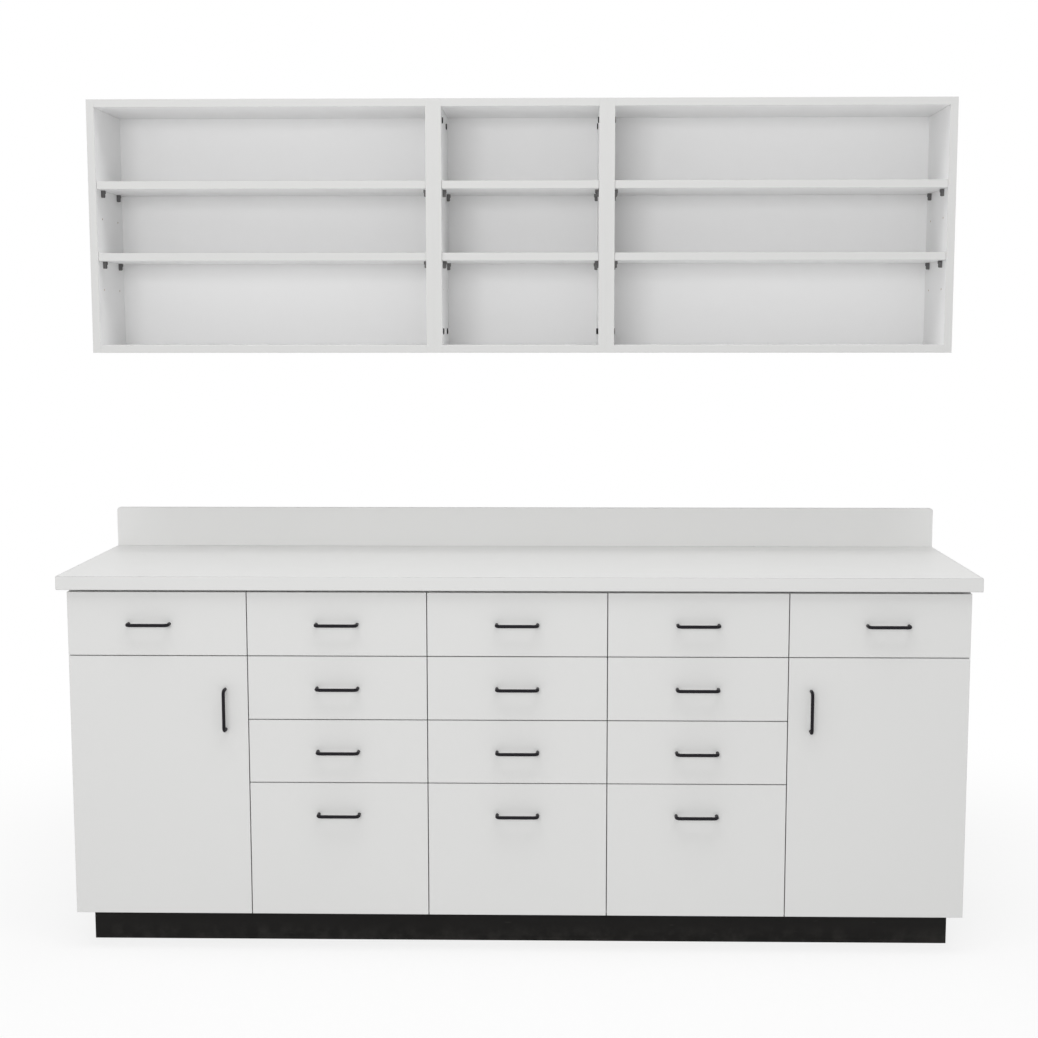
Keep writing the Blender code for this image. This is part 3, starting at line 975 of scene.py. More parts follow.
class Wire:
    """A wire in the making, drawn and bent at its open end."""

    def __init__(self, radius: float, foot: Matrix, sides: int) -> None:
        """Start with a ring.

        Args:
            radius: Radius of the wire.
            foot: Place of the ring.
            sides: Sides of the wire's section.
        """
        self.mesh = bmesh.new()
        bmesh.ops.create_circle(self.mesh, segments=sides, radius=radius, matrix=foot)
        self.ring = self.mesh.edges[:]

    def draw(self, step: Vector) -> None:
        """Draw the end out straight.

        Args:
            step: How far and which way.
        """
        drawn = bmesh.ops.extrude_edge_only(self.mesh, edges=self.ring)["geom"]
        fresh = only(bmesh.types.BMVert, drawn)
        bmesh.ops.translate(self.mesh, verts=fresh, vec=step)
        self.ring = [edge for edge in only(bmesh.types.BMEdge, drawn) if set(edge.verts) <= set(fresh)]

    def bend(self, centre: Vector, steps: int) -> None:
        """Bend the end by a right angle about an upright axis.

        Args:
            centre: Centre of the bend.
            steps: Straight pieces in the bend.
        """
        corners = list({vert for edge in self.ring for vert in edge.verts})
        bent = bmesh.ops.spin(
            self.mesh, geom=corners + self.ring, cent=centre, axis=UP, angle=math.pi / 2, steps=steps,
        )
        self.ring = only(bmesh.types.BMEdge, bent["geom_last"])


@dataclass(frozen=True)
class WirePull(SubAssembly):
    """A black wire bent into a pull."""

    node: str  # the node that it replaces
    rides: str  # the body that it moves with
    lay: Lay
    wire: float = 0.004  # radius of the wire
    bend: float = 0.009  # radius of the bends along the wire's middle
    sides: int = 16  # sides of the wire's section
    bend_steps: int = 8  # straight pieces in a bend

    @property
    def body(self) -> str:
        """The drawer or door that carries it."""
        return self.rides

    def feet(self) -> list[Vector]:
        """The middles of the two ends, on the front's face.

        Returns:
            The left or lower one, and then the other.
        """
        box, axis = Box.of(self.node), self.lay.value
        face = (box.high.y, box.high.y)
        places = (getattr(box.low, axis) + self.wire, getattr(box.high, axis) - self.wire)
        return [box.cut(y=face, **{axis: (place, place)}).middle for place in places]

    def build(self) -> None:
        """Bend the wire level in front of the origin, then put it on the front."""
        first, last = self.feet()
        half, box = (last - first).length / 2, Box.of(self.node)
        reach = box.high.y - box.low.y - self.wire
        # A leg and half the bar, each as far as its bend.
        leg, bar = Vector((0.0, self.bend - reach, 0.0)), Vector((half - self.bend, 0.0, 0.0))
        foot = Matrix.Translation((-half, 0.0, 0.0)) @ Matrix.Rotation(math.pi / 2, 4, "X")
        wire = Wire(self.wire, foot, self.sides)
        wire.draw(leg)
        wire.bend(leg - bar, self.bend_steps)
        wire.draw(2 * bar)
        wire.bend(leg + bar, self.bend_steps)
        wire.draw(-leg)
        bmesh.ops.holes_fill(wire.mesh, edges=wire.mesh.edges[:])
        turn = Matrix.Rotation(math.pi / 2 if self.lay is Lay.UPRIGHT else 0.0, 4, "Y")
        shape = Shape()
        shape.settle(wire.mesh, Matrix.Translation((first + last) / 2) @ turn)
        self.add(self.node.replace("pull", "wire_pull"), shape, (BLACK_WIRE,), self.node, "pull")


@dataclass(frozen=True)
class Drawer(SubAssembly):
    """A drawer: its banded front, a box of five boards, two runners and its pull."""

    label: str  # column letter and row number
    slide: RollerSlide = RollerSlide()
    wall: float = 0.016  # thickness of the box's sides
    bottom: float = 0.006  # thickness of the box's bottom
    bottom_rise: float = 0.010  # height of the bottom over the sides' lower edge
    front_gap: float = 0.003  # gap between the front and the carcass
    fixing_inset: float = 0.032  # distance of the front's screws from the box's ends and lower edge
    fixing_drop: float = 0.6  # their distance from its upper edge, as a share of the inset

    @property
    def body(self) -> str:
        """The drawer's own body."""
        return f"drawer_{self.label}"

    def outside(self) -> Box:
        """The box with its runners."""
        return Box.of(f"drawer_box_{self.label}")

    def shell(self) -> Box:
        """The box without its runners."""
        (low, high), side = self.outside(), self.slide.space - self.slide.edge
        return Box(low, high).cut(x=(low.x + side, high.x - side), z=(low.z + self.slide.sheet, high.z))

    def carcass_board(self, side: Side) -> float:
        """X of the face of the carcass board at a side."""
        return self.outside().end(side) - side.value * self.slide.edge

    def tracks(self, start: float, end: float) -> list[Track]:
        """Where a half of its slides goes at both sides, from one Y to another."""
        bottom = self.shell().low.z
        return [Track(side, self.carcass_board(side), bottom, start, end) for side in Side]

    def pull(self) -> WirePull:
        """The drawer's pull."""
        return WirePull(f"drawer_pull_{self.label}", self.body, Lay.LEVEL)

    def build(self) -> None:
        """Make the front, the box, the runners and the pull."""
        front, node = Shape(), f"drawer_front_{self.label}"
        front.board(Box.of(node), ease=FRONT_EASE)
        self.add(f"{self.body}_front", front, LAMINATE_BOARDS[:2], node, "front")
        self.build_box()
        self.build_runners()
        self.pull().build()

    def build_box(self) -> None:
        """Five boards, with the screws that hold the front, the corners and the pull."""
        shell, wall, inset = self.shell(), self.wall, self.fixing_inset
        low, high = shell
        inner, rear = low.y + wall, high.y - wall
        across, floor = (low.x + wall, high.x - wall), low.z + self.bottom_rise
        shape = Shape()
        for spans in (
            {"x": (low.x, across[0])}, {"x": (across[1], high.x)}, {"x": across, "y": (low.y, inner)},
            {"x": across, "y": (rear, high.y)},
            {"x": across, "y": (inner, rear), "z": (floor, floor + self.bottom)},
        ):
            shape.board(shell.cut(**spans), [-UP])
        for height in (low.z + inset, high.z - self.fixing_drop * inset):
            for x in (across[0] + inset, across[1] - inset):
                shape.screw(Vector((x, inner, height)), BACKWARDS, Skin.METAL)
            for y in (low.y + wall / 2, high.y - wall / 2):
                for side in Side:
                    corner = Vector((shell.end(side), y, height))
                    shape.screw(corner, -side.inwards, Skin.METAL, Head.FLUSH)
        for foot in self.pull().feet():
            shape.screw(Vector((foot.x, inner, foot.z)), BACKWARDS, Skin.METAL, Head.PULL)
        self.add(f"{self.body}_box", shape, MELAMINE_BOARDS, f"drawer_box_{self.label}", "drawer_box")

    def build_runners(self) -> None:
        """The drawer's half of both slides."""
        (low, high), shape = self.outside(), Shape()
        for track in self.tracks(low.y + self.front_gap + self.slide.play, high.y - SEAT):
            self.slide.runner(shape, track)
        self.add(f"{self.body}_runners", shape, SLIDE_METALS)


@dataclass(frozen=True)
class BaseCabinet(SubAssembly):
    """A base carcass of boards with the fixed rails of its drawers."""

    name: str  # its place in the run
    columns: str  # letters of its columns
    back: float = 0.006  # thickness of the back board
    back_inset: float = 0.019  # distance of the back board from the wall
    stretcher: float = 0.100  # width of the top stretchers

    @staticmethod
    def front() -> float:
        """Y of the carcasses' front edges."""
        return Box.of("base_cabinet_centre").low.y

    def build(self) -> None:
        """Make the boards and the rails."""
        self.build_boards()
        self.build_rails()

    def build_boards(self) -> None:
        """Sides, bottom, partitions, back, rear rail and stretchers."""
        name, shape, sawn = f"base_cabinet_{self.name}", Shape(), [BACKWARDS, UP, -UP]
        node = Box.of(name)
        whole = node.cut(y=(self.front(), node.high.y))
        low, high = whole
        back, floor = high.y - self.back_inset, low.z + BOARD
        inside = back - self.back
        for side in Side:
            edge = whole.end(side)
            shape.board(whole.cut(x=(edge, edge + side.value * BOARD)), sawn, outer=[-side.inwards])
        left, right = low.x + BOARD, high.x - BOARD
        between = whole.cut(x=(left, right))
        shape.board(between.cut(z=(low.z, floor)), [BACKWARDS])
        shape.board(between.cut(y=(inside, back), z=(floor, high.z)), sawn)
        shape.board(between.cut(y=(back, high.y), z=(high.z - self.stretcher, high.z)), sawn)
        lines = column_lines(self.columns)
        starts = [left, *(line + BOARD / 2 for line in lines)]
        ends = [*(line - BOARD / 2 for line in lines), right]
        for edges in zip(ends, starts[1:]):
            shape.board(whole.cut(x=edges, y=(low.y, inside), z=(floor, high.z)), sawn)
        half = self.stretcher / 2
        for span in zip(starts, ends):
            top = whole.cut(x=span, z=(high.z - BOARD, high.z))
            shape.board(top.cut(y=(low.y, low.y + self.stretcher)), [BACKWARDS])
            shape.board(top.cut(y=(back - self.stretcher, inside)), [BACKWARDS])
            for y in (low.y + half, back - half):
                for x in (span[0] + half, span[1] - half):
                    shape.screw(Vector((x, y, high.z - BOARD)), -UP, Skin.METAL)
        self.add(f"base_{self.name}_boards", shape, MELAMINE_BOARDS, name, "carcass")

    def build_rails(self) -> None:
        """The carcass's half of the slides of every drawer."""
        shape = Shape()
        for drawer in (Drawer(label) for label in drawer_labels() if label[0] in self.columns):
            slide = drawer.slide
            end = drawer.outside().high.y - slide.short
            for track in drawer.tracks(self.front() + slide.play, end):
                slide.rail(shape, track)
        self.add(f"base_{self.name}_slide_rails", shape, SLIDE_METALS)


@dataclass(frozen=True)
class Hinge:
    """A concealed hinge: cup in the door, plate and arm in the cabinet, links between them."""

    side: Side
    height: float  # of its middle
    cup_edge: float = 0.0225  # distance of the cup's middle from the door's edge
    cup: float = 0.0155  # radius of the cup
    depth: float = 0.0115  # of the cup
    sheet: float = 0.0004  # thickness of the cup's wall
    flange: float = 0.0205  # radius of the cup's flange
    flange_rise: float = 0.001  # how far the flange stands out from the door
    slope: float = 0.0006  # width of the slopes at the cup's and the flange's edges
    ear: Span = (0.028, 0.007)  # half height and half width of the flange's ears
    pin: Span = (0.0016, 0.020)  # radius and length of the pin in the cup
    bore_gap: float = 0.0001  # gap between the cup and its bore
    # distances of the arm's lower and upper face from the carcass board, and its half height
    arm: tuple[float, float, float] = (0.0012, 0.0108, 0.006)
    arm_length: float = 0.062  # how far the arm reaches into the cabinet
    arm_ease: float = 0.0007  # rounding of its edges
    arm_fixing: float = 0.006  # distance of its screws from the plate's ends
    # first and last distance of the plate from the cabinet's front, and its half height
    plate: tuple[float, float, float] = (0.022, 0.058, 0.022)
    wing: float = 0.009  # radius of the plate's round ends
    rib: float = 0.0075  # half height of the plate's rib
    # distances of the plate's face and of its rib's from the carcass board
    levels: Span = (0.002, 0.006)
    # where the links begin, by distances from the axis: inwards and forwards
    arm_pivot: Span = (0.0255, 0.0050)
    cup_pivot: Span = (0.0135, 0.0065)  # where they end
    # half height of each link, and how far forwards it is moved
    straps: tuple[Span, Span] = ((0.0048, 0.0), (0.0030, 0.0022))
    strap: float = 0.0012  # thickness of a link

    @property
    def door(self) -> str:
        """The door that it carries, and its body."""
        return f"door_{self.side.word}"

    def axis(self) -> Vector:
        """A point of the door's turning axis at the hinge's height."""
        door = Box.of(self.door)
        return Vector((door.end(self.side), door.high.y - self.flange_rise, self.height))

    def at(self, inside: float, forwards: float, up: float = 0.0) -> Vector:
        """A point by its distances from the axis: towards the door's middle, forwards and up."""
        return self.axis() + Vector((self.side.value * inside, -forwards, up))

    def board(self) -> float:
        """X of the carcass board's inner face, from the drawer over the door."""
        return Drawer(drawer_labels()[0 if self.side is Side.LEFT else -1]).carcass_board(self.side)

    def add_cup(self, shape: Shape) -> None:
        """Add the cup with its flange, ears, screws and pin.

        Args:
            shape: The door's fittings.
        """
        wall, floor, base = self.cup - self.sheet, -self.depth, -self.depth - self.sheet
        middle, rise, slope = self.at(self.cup_edge, 0.0), self.flange_rise, self.slope
        profile = [
            (0.0, base), (self.cup, base), (self.cup, 0.0), (self.flange, 0.0),
            (self.flange, rise - slope), (self.flange - slope, rise), (self.cup + slope, rise),
            (wall, rise - slope), (wall, floor + slope), (wall - slope, floor), (0.0, floor),
        ]
        shape.turned(profile, middle, BACKWARDS, Fitting.SHEET, steps=36)
        (tall, wide), lift = self.ear, 0.8 * rise
        ears = oval((middle.x, middle.z), tall, wide, steps=10)
        shape.drawn(ears, Axis.Y, middle.y, middle.y + lift, Fitting.SHEET)
        for up in (tall - wide, wide - tall):
            shape.screw(self.at(self.cup_edge, -lift, up), BACKWARDS, Fitting.SCREW, Head.CUP)
        radius, length = self.pin
        pin = [(0.0, 0.0), (radius, 0.0), (radius, length), (0.0, length)]
        shape.turned(pin, self.at(*self.cup_pivot, -length / 2), UP, Fitting.SCREW, steps=10)

    def add_hole(self, holes: Shape) -> None:
        """Add the bore of the cup to the door's holes.

        Args:
            holes: The door's holes.
        """
        radius, depth = self.cup + self.bore_gap, self.depth + self.sheet + self.bore_gap
        profile = [(0.0, -depth), (radius, -depth), (radius, self.depth), (0.0, self.depth)]
        holes.turned(profile, self.at(self.cup_edge, 0.0), BACKWARDS, Skin.BARE, steps=36)

    def add_arm(self, shape: Shape) -> None:
        """Add the mounting plate, the arm over it and their screws.

        Args:
            shape: The cabinet's fittings.
        """
        front, board, away = BaseCabinet.front(), self.board(), self.side.inwards
        lower, upper, half = self.arm
        start, end, tall = (front + self.plate[0], front + self.plate[1], self.plate[2])
        middle, tip = (start + end) / 2, self.axis().y - self.depth + SEAT

        def out(distance: float) -> float:
            """X at a distance from the board."""
            return board + self.side.value * distance

        base, top = (out(level) for level in self.levels)
        plate = oval((middle, self.height), tall, self.wing, steps=8)
        shape.drawn(plate, Axis.X, board, base, Fitting.SHEET)
        low, high = self.height - self.rib, self.height + self.rib
        rib = [(start, low), (end, low), (end, high), (start, high)]
        shape.drawn(rib, Axis.X, base, top, Fitting.SHEET, EASE)
        for up in (tall - self.wing, self.wing - tall):
            shape.screw(Vector((base, middle, self.height + up)), away, Fitting.SCREW)
        # The arm from the side: distances from the board at its nose, over the plate and at its heel,
        # lengths of its slopes, and how far behind the front it rises over the plate.
        nose_low, nose_high, over, heel = 0.003, 0.008, 0.0062, 0.0095
        slope_low, slope_high, slope_heel, rising = 0.008, 0.012, 0.003, 0.020
        step, rear = front + rising, front + self.arm_length
        side_view = [
            (nose_low, tip), (nose_high, tip), (upper, tip + slope_high), (upper, rear - slope_heel),
            (heel, rear), (over, rear), (over, step), (lower, step), (lower, tip + slope_low),
        ]
        outline = [(out(distance), y) for distance, y in side_view]
        shape.drawn(outline, Axis.Z, self.height - half, self.height + half, Fitting.SHEET, self.arm_ease)
        for y in (start + self.arm_fixing, end - self.arm_fixing):
            shape.screw(Vector((out(upper), y, self.height)), away, Fitting.SCREW, Head.ARM)

    def build_links(self, name: str) -> None:
        """Make the two links, from the arm to the cup.

        Args:
            name: Name of the piece.
        """
        shape = Shape()
        start, end = Vector(self.arm_pivot), Vector(self.cup_pivot)
        way = end - start
        along = Vector((self.side.value * way.x, -way.y, 0.0))
        across = along.cross(UP).normalized() * self.strap
        for half, shift in self.straps:
            strap = bmesh.new()
            bmesh.ops.create_grid(strap, x_segments=28, y_segments=1, size=0.5)
            bmesh.ops.solidify(strap, geom=strap.faces[:], thickness=1.0)
            middle = (start + end) / 2 + Vector((0.0, shift))
            columns = Matrix((along, UP * 2 * half, across)).transposed().to_4x4()
            shape.settle(strap, Matrix.Translation(self.at(*middle)) @ columns, smooth=False)
        links = put(name, shape, (NICKEL,))
        self.at(*start)
        self.at(*end)
        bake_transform(links)
        LOG.info("%s: bends between %s and %s", name, CABINET, self.door)


@dataclass(frozen=True)
class Door(SubAssembly):
    """A cupboard door with its hinges and its pull."""

    side: Side
    hinge_inset: float = 0.100  # distance of the hinges from the door's ends

    @property
    def body(self) -> str:
        """The door's own body."""
        return f"door_{self.side.word}"

    def build(self) -> None:
        """Make the board, the cups in it, the hinges in the cabinet and the pull."""
        node = Box.of(self.body)
        heights = (node.low.z + self.hinge_inset, node.high.z - self.hinge_inset)
        hinges = [Hinge(self.side, height) for height in heights]
        back = hinges[0].axis().y
        pull = WirePull(f"door_pull_{self.side.word}", self.body, Lay.UPRIGHT)
        board, holes, cups, arms = (Shape() for _ in range(4))
        board.board(node.cut(y=(node.low.y, back)), ease=FRONT_EASE)
        for hinge in hinges:
            hinge.add_hole(holes)
            hinge.add_cup(cups)
            hinge.add_arm(arms)
        for foot in pull.feet():
            cups.screw(Vector((foot.x, back, foot.z)), BACKWARDS, Fitting.SCREW, Head.PULL)
        carve(self.add(f"{self.body}_board", board, LAMINATE_BOARDS[:3], self.body, "front"), holes)
        self.add(f"{self.body}_hinge_cups", cups, HINGE_METALS)
        self.add(f"{self.body}_hinge_arms", arms, HINGE_METALS, body=CABINET)
        for number, hinge in enumerate(hinges, 1):
            hinge.build_links(f"{self.body}_hinge_links_{number}")
        pull.build()


@dataclass(frozen=True)
class Countertop(SubAssembly):
    """The counter board with its splash board."""

    thickness: float = 0.032  # of the counter
    splash: float = 0.019  # thickness of the splash
    corner: float = 0.007  # rounding of the splash's upper corners
    edge: float = 0.0015  # rounding of the counter's edges
    splash_edge: float = 0.0007  # rounding of the splash's edges

    def build(self) -> None:
        """Make the two boards."""
        whole, shape, corner = Box.of("countertop"), Shape(), self.corner
        low, high = whole
        deck = low.z + self.thickness
        shape.board(whole.cut(z=(low.z, deck)), [BACKWARDS], self.edge)
        right, left = ((x, high.z - corner) for x in (high.x - corner, low.x + corner))
        outline = [
            (low.x, deck), (high.x, deck), *arc(right, corner, 0, 90, steps=6),
            *arc(left, corner, 90, 180, steps=6),
        ]
        shape.drawn(outline, Axis.Y, high.y - self.splash, high.y, Skin.FACE, self.splash_edge)
        finishes = (LIGHTENED_COUNTER_LAMINATE, WHITE_LAMINATE, BARE_BOARD)
        self.add("countertop_and_splash", shape, finishes, "countertop", "counter")


@dataclass(frozen=True)
class Plinth(SubAssembly):
    """The black ladder frame under the base cabinets."""

    def build(self) -> None:
        """Make the long boards, the ends and the rungs under the columns' joints."""
        whole, shape = Box.of("plinth"), Shape()
        low, high = whole
        inner, rear = low.y + BOARD, high.y - BOARD
        for span in ((low.y, inner), (rear, high.y)):
            shape.board(whole.cut(y=span), [-UP])
        joints = column_lines(sorted({label[0] for label in drawer_labels()}))
        for start in (low.x, *(line - BOARD / 2 for line in joints), high.x - BOARD):
            shape.board(whole.cut(x=(start, start + BOARD), y=(inner, rear)), [-UP])
        finishes = (BLACK_LAMINATE, BLACK_LAMINATE, BARE_BOARD)
        self.add("plinth_frame", shape, finishes, "plinth", "plinth")


@dataclass(frozen=True)
class WallUnit(SubAssembly):
    """An open wall unit with its shelves, clips, spare pin holes and connector caps."""

    name: str  # its place in the row
    joined: tuple[Side, ...]  # sides at which another unit is bolted on
    inside: float = 0.265  # clear depth
    back: float = 0.016  # thickness of the back board
    rail: float = 0.090  # height of a hanging rail and the board beside it
    groove: float = 0.002  # how far the back board sits in the boards round it
    shelf_play: float = 0.0004  # gap between a shelf's ends and the sides
    ease: float = 0.0004  # rounding of its edges
    side_ease: float = 0.00012  # rounding of the side boards' edges
    seam: float = 0.00014  # how far a joined side goes into the gap between units
    clip_inset: float = 0.050  # distance of the clips from the shelf's front and back
    clip_width: Span = (0.0112, 0.0086)  # widths of a clip's upper and lower part
    clip_reach: float = 0.0092  # how far a clip stands out under the shelf
    clip_drop: float = 0.0170  # height of a clip
    clip_neck: float = 0.4  # height of its upper part, as a share of the clip's
    clip_step: float = 0.84  # how far its lower part stands out, as a share of its reach
    clip_sheet: float = 0.0017  # thickness of its sheet
    clip_ease: float = 0.0003  # rounding of its edges
    hole: Span = (0.0025, 0.011)  # radius and depth of a pin hole
    spare: float = 0.070  # how far the spare hole lies under a shelf
    cap: Span = (0.0075, 0.0027)  # radius of a connector's cap, and how far it stands out
    # radius and height of its profile, from the foot to the socket, as shares of those
    cap_profile: Outline = (
        (0.0, 0.0), (1.0, 0.0), (1.0, 0.8), (0.94, 0.95), (0.8, 1.0), (0.3, 1.0), (0.26, 0.5), (0.0, 0.5),
    )
    cap_depths: Span = (0.16, 0.72)  # places of the caps, as shares of the clear depth
    cap_heights: Span = (0.0525, 0.048)  # distances of the caps from the unit's bottom and top

    @property
    def node(self) -> str:
        """The unit's node."""
        return f"wall_unit_{self.name}"

    def walls(self) -> dict[Side, float]:
        """X of the inner face of each side board."""
        return {side: Box.of(self.node).end(side) + side.value * BOARD for side in Side}

    def build(self) -> None:
        """Make the boards, the clips, the caps and the shelves."""
        shelves = {level: f"wall_shelf_{self.name}_{level}" for level in ("lower", "upper")}
        clips, holes = Shape(), Shape()
        for node in shelves.values():
            self.add_clips(clips, holes, Box.of(node))
        carve(self.build_sides(), holes)
        self.build_boards()
        self.add(f"wall_{self.name}_shelf_clips", clips, (DULL_NICKEL_AND_SHADE,))
        self.build_caps()
        left, right = self.walls().values()
        ends = (left + self.shelf_play, right - self.shelf_play)
        for level, node in shelves.items():
            board, place = Shape(), Box.of(node)
            board.board(place.cut(x=ends, y=(place.low.y, place.high.y + SEAT)), [BACKWARDS])
            self.add(f"wall_{self.name}_shelf_{level}", board, MELAMINE_BOARDS[:3], node, "shelf")

    def build_sides(self) -> bpy.types.Object:
        """Make the two side boards.

        Returns:
            The piece, before it is drilled.
        """
        whole, shape = Box.of(self.node), Shape()
        for side, wall in self.walls().items():
            seam = self.seam if side in self.joined else 0.0
            span = (whole.end(side) - side.value * seam, wall)
            shape.board(whole.cut(x=span), [BACKWARDS], self.side_ease, [-side.inwards])
        return self.add(f"wall_{self.name}_sides", shape, MELAMINE_BOARDS[:3], self.node, "wall_unit")

    def build_boards(self) -> None:
        """Make the top, bottom, back and hanging rails."""
        whole, shape, groove = Box.of(self.node), Shape(), self.groove
        low, high = whole
        inside, (left, right) = low.y + self.inside, self.walls().values()
        back = inside + self.back
        between = whole.cut(x=(left, right))
        floor, ceiling = low.z + BOARD, high.z - BOARD
        for span, outer in (((low.z, floor), -UP), ((ceiling, high.z), UP)):
            shape.board(between.cut(z=span), [BACKWARDS], self.ease, [outer])
        panel = whole.cut(x=(left - groove, right + groove), z=(floor - groove, ceiling + groove))
        shape.board(panel.cut(y=(inside, back)), ease=self.ease)
        for span in ((floor, low.z + self.rail), (high.z - self.rail, ceiling)):
            shape.board(between.cut(y=(back, high.y), z=span), [UP, -UP], self.ease)
        self.add(f"wall_{self.name}_boards", shape, MELAMINE_BOARDS[:3], slot="wall_unit")

    def add_clips(self, clips: Shape, holes: Shape, shelf: Box) -> None:
        """Add the four clips under a shelf, and the spare pin holes below them.

        Args:
            clips: The unit's clips.
            holes: The unit's holes.
            shelf: The shelf's box.
        """
        sheet, reach, top = self.clip_sheet, self.clip_reach, shelf.low.z - SEAT
        step, half, lower = self.clip_step * reach, self.clip_width[0] / 2, self.clip_width[1] / 2
        under, neck, foot = top - sheet, top - self.clip_neck * self.clip_drop, top - self.clip_drop
        ledge = [
            (0.0, top), (reach, top), (reach, under), (2 * sheet, under), (sheet, under - sheet),
            (sheet, neck), (0.0, neck),
        ]
        cheek = [
            (0.0, under), (reach, under), (reach, neck), (step, neck - sheet), (step, foot + sheet),
            (step - sheet, foot), (0.0, foot),
        ]
        bends = ((ledge, -half, half), (cheek, -half, sheet - half), (cheek, half - sheet, half))
        radius, depth = self.hole
        bore = [(0.0, -depth), (radius, -depth), (radius, depth), (0.0, depth)]
        for side, wall in self.walls().items():
            out = side.value
            for y in (shelf.low.y + self.clip_inset, shelf.high.y - self.clip_inset):
                for outline, start, end in bends:
                    points = [(wall + out * a, b) for a, b in outline]
                    clips.drawn(points, Axis.Y, y + start, y + end, ease=self.clip_ease)
                tip = arc((y, foot + lower), lower, 0, -180, steps=8)
                tongue = [(y - lower, neck), (y + lower, neck), *tip]
                clips.drawn(tongue, Axis.X, wall, wall + out * sheet, ease=self.clip_ease)
                spare = Vector((wall, y, shelf.low.z - self.spare))
                holes.turned(bore, spare, side.inwards, Skin.BARE, steps=12)

    def build_caps(self) -> None:
        """Make the caps of the connectors that bolt neighbouring units together."""
        (low, high), walls, shape = Box.of(self.node), self.walls(), Shape()
        profile = sized(self.cap_profile, *self.cap)
        for side in self.joined:
            for z in (low.z + self.cap_heights[0], high.z - self.cap_heights[1]):
                for share in self.cap_depths:
                    foot = Vector((walls[side], low.y + share * self.inside, z))
                    shape.turned(profile, foot, side.inwards, steps=20)
        self.add(f"wall_{self.name}_connector_caps", shape, (BLACK_PLASTIC,))


@dataclass(frozen=True)
class Softbox:
    """A flat lamp."""

    name: str
    place: Point  # where it stands
    aim: Point  # the point that it faces
    width: float
    height: float
    watts: float

    def build(self) -> None:
        """Hang the lamp. Gloss shows the white room in its place."""
        lamp = bpy.data.lights.new(self.name, "AREA")
        lamp.shape = "RECTANGLE"
        lamp.size, lamp.size_y, lamp.energy = self.width, self.height, self.watts
        holder = hang(self.name, lamp)
        holder.visible_glossy = False
        holder.location = self.place
        way = Vector(self.aim) - Vector(self.place)
        holder.rotation_euler = way.to_track_quat("-Z", "Y").to_euler()


@dataclass(frozen=True)
class PhotoView:
    """The photograph's camera, found by fitting the cabinet's edges to the picture."""

    place: Point = (0.11418, -4.56041, 1.49703)  # where it stands
    forward: Point = (-0.021504, 0.991442, -0.128769)  # the way that it looks
    roll: float = -0.00058  # its turn about that way, in radians
    picture: float = 1038.0  # width of the picture in pixels
    focal: float = 1844.20  # focal length in pixels
    centre: Span = (526.37, 564.31)  # where the optical axis meets the picture, in pixels
    sensor: float = 36.0  # width of the sensor in millimetres

    def build(self) -> None:
        """Set up the camera."""
        lens = bpy.data.cameras.new("photo_view")
        lens.sensor_fit, lens.sensor_width = "HORIZONTAL", self.sensor
        lens.lens = self.focal / self.picture * self.sensor
        lens.shift_x = 0.5 - self.centre[0] / self.picture
        lens.shift_y = self.centre[1] / self.picture - 0.5
        camera = hang("photo_view", lens)
        camera.location = self.place
        turn = Vector(self.forward).to_track_quat("-Z", "Y") @ Quaternion(UP, self.roll)
        camera.rotation_euler = turn.to_euler()
        bpy.context.scene.camera = camera


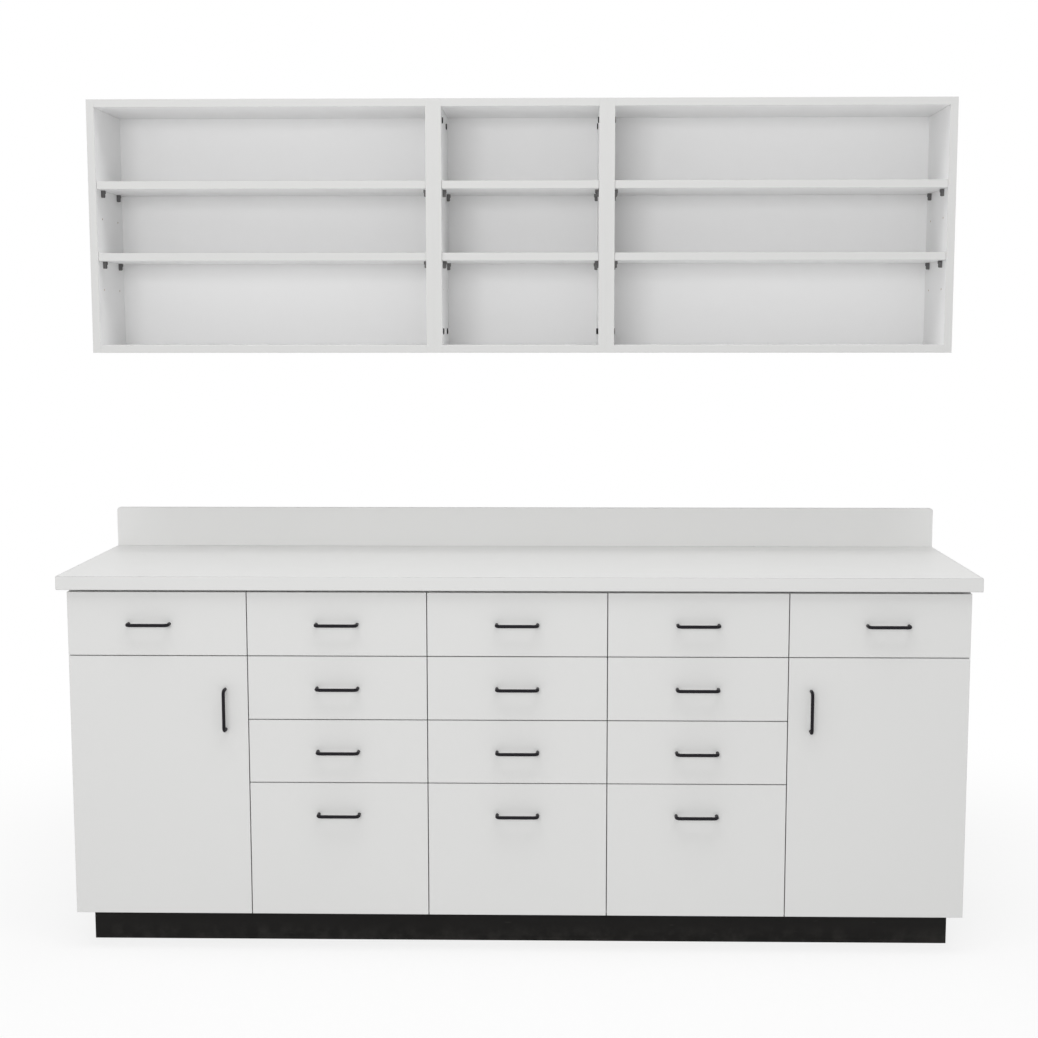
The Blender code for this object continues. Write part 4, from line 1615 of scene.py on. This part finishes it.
@dataclass(frozen=True)
class Studio:
    """White floor, soft light and the camera."""

    ambient: float = 0.54  # light that comes evenly from all round
    floor_half: float = 14.0  # half the floor's width
    floor_tone: float = 0.9  # how much of its light the floor gives back
    floor_shadow: float = 0.2  # how much of the shadow shows near the cabinet
    fade: Span = (1.0, 2.6)  # distances between which the floor turns into plain white
    lamps: tuple[Softbox, ...] = (
        Softbox("front_softbox", (-0.95, -5.5, 2.0), (0.0, 0.0, 1.2), 2.4, 1.4, 85.0),
        Softbox("overhead_softbox", (0.0, -1.95, 5.4), (0.0, -0.2, 0.9), 4.2, 2.4, 110.0),
    )
    view: PhotoView = PhotoView()

    def build(self) -> None:
        """Make the floor, the light and the camera."""
        bpy.context.scene.view_settings.view_transform = "Standard"
        self.build_floor()
        self.build_world()
        for lamp in self.lamps:
            lamp.build()
        self.view.build()

    def build_floor(self) -> None:
        """A white floor that keeps a soft shadow near the cabinet."""
        shape, material = Shape(), bpy.data.materials.new("white_floor")
        bmesh.ops.create_grid(shape.mesh, x_segments=1, y_segments=1, size=self.floor_half)
        mesh, graph = shape.to_mesh("floor"), Graph(material)
        away = graph.node("ShaderNodeVectorMath", {"operation": "LENGTH"}, {0: graph.place()}, "Value")
        white = graph.node("ShaderNodeEmission", {}, {"Color": PLAIN_WHITE, "Strength": 1.0})
        paint = graph.node("ShaderNodeBsdfDiffuse", {}, {"Color": (*(self.floor_tone,) * 3, 1.0)})
        share = graph.seen() * (1.0 - self.floor_shadow * (1.0 - away.ramp(*self.fade)))
        mixed = graph.node("ShaderNodeMixShader", {}, {0: share, 1: paint, 2: white})
        graph.node("ShaderNodeOutputMaterial", {}, {"Surface": mixed})
        mesh.materials.append(material)
        hang("floor", mesh)

    def build_world(self) -> None:
        """Even light from all round, seen as plain white."""
        world = bpy.data.worlds.new("white_room")
        graph = Graph(world)
        strength = self.ambient + (1.0 - self.ambient) * graph.seen()
        sky = graph.node("ShaderNodeBackground", {}, {"Color": PLAIN_WHITE, "Strength": strength})
        graph.node("ShaderNodeOutputWorld", {}, {"Surface": sky})
        bpy.context.scene.world = world


def main() -> None:
    """Build the cabinet, its light and its camera."""
    logging.basicConfig(level=logging.INFO, format="%(message)s")
    run = {"left": "ab", "centre": "c", "right": "de"}
    joined = {"left": (Side.RIGHT,), "centre": (Side.LEFT, Side.RIGHT), "right": (Side.LEFT,)}
    assemblies: list[SubAssembly] = [Plinth(), Countertop()]
    assemblies += [BaseCabinet(name, columns) for name, columns in run.items()]
    assemblies += [WallUnit(name, sides) for name, sides in joined.items()]
    assemblies += [Drawer(label) for label in drawer_labels()]
    assemblies += [Door(side) for side in Side]
    for assembly in assemblies:
        assembly.build()
    Studio().build()


if __name__ == "__main__":
    main()
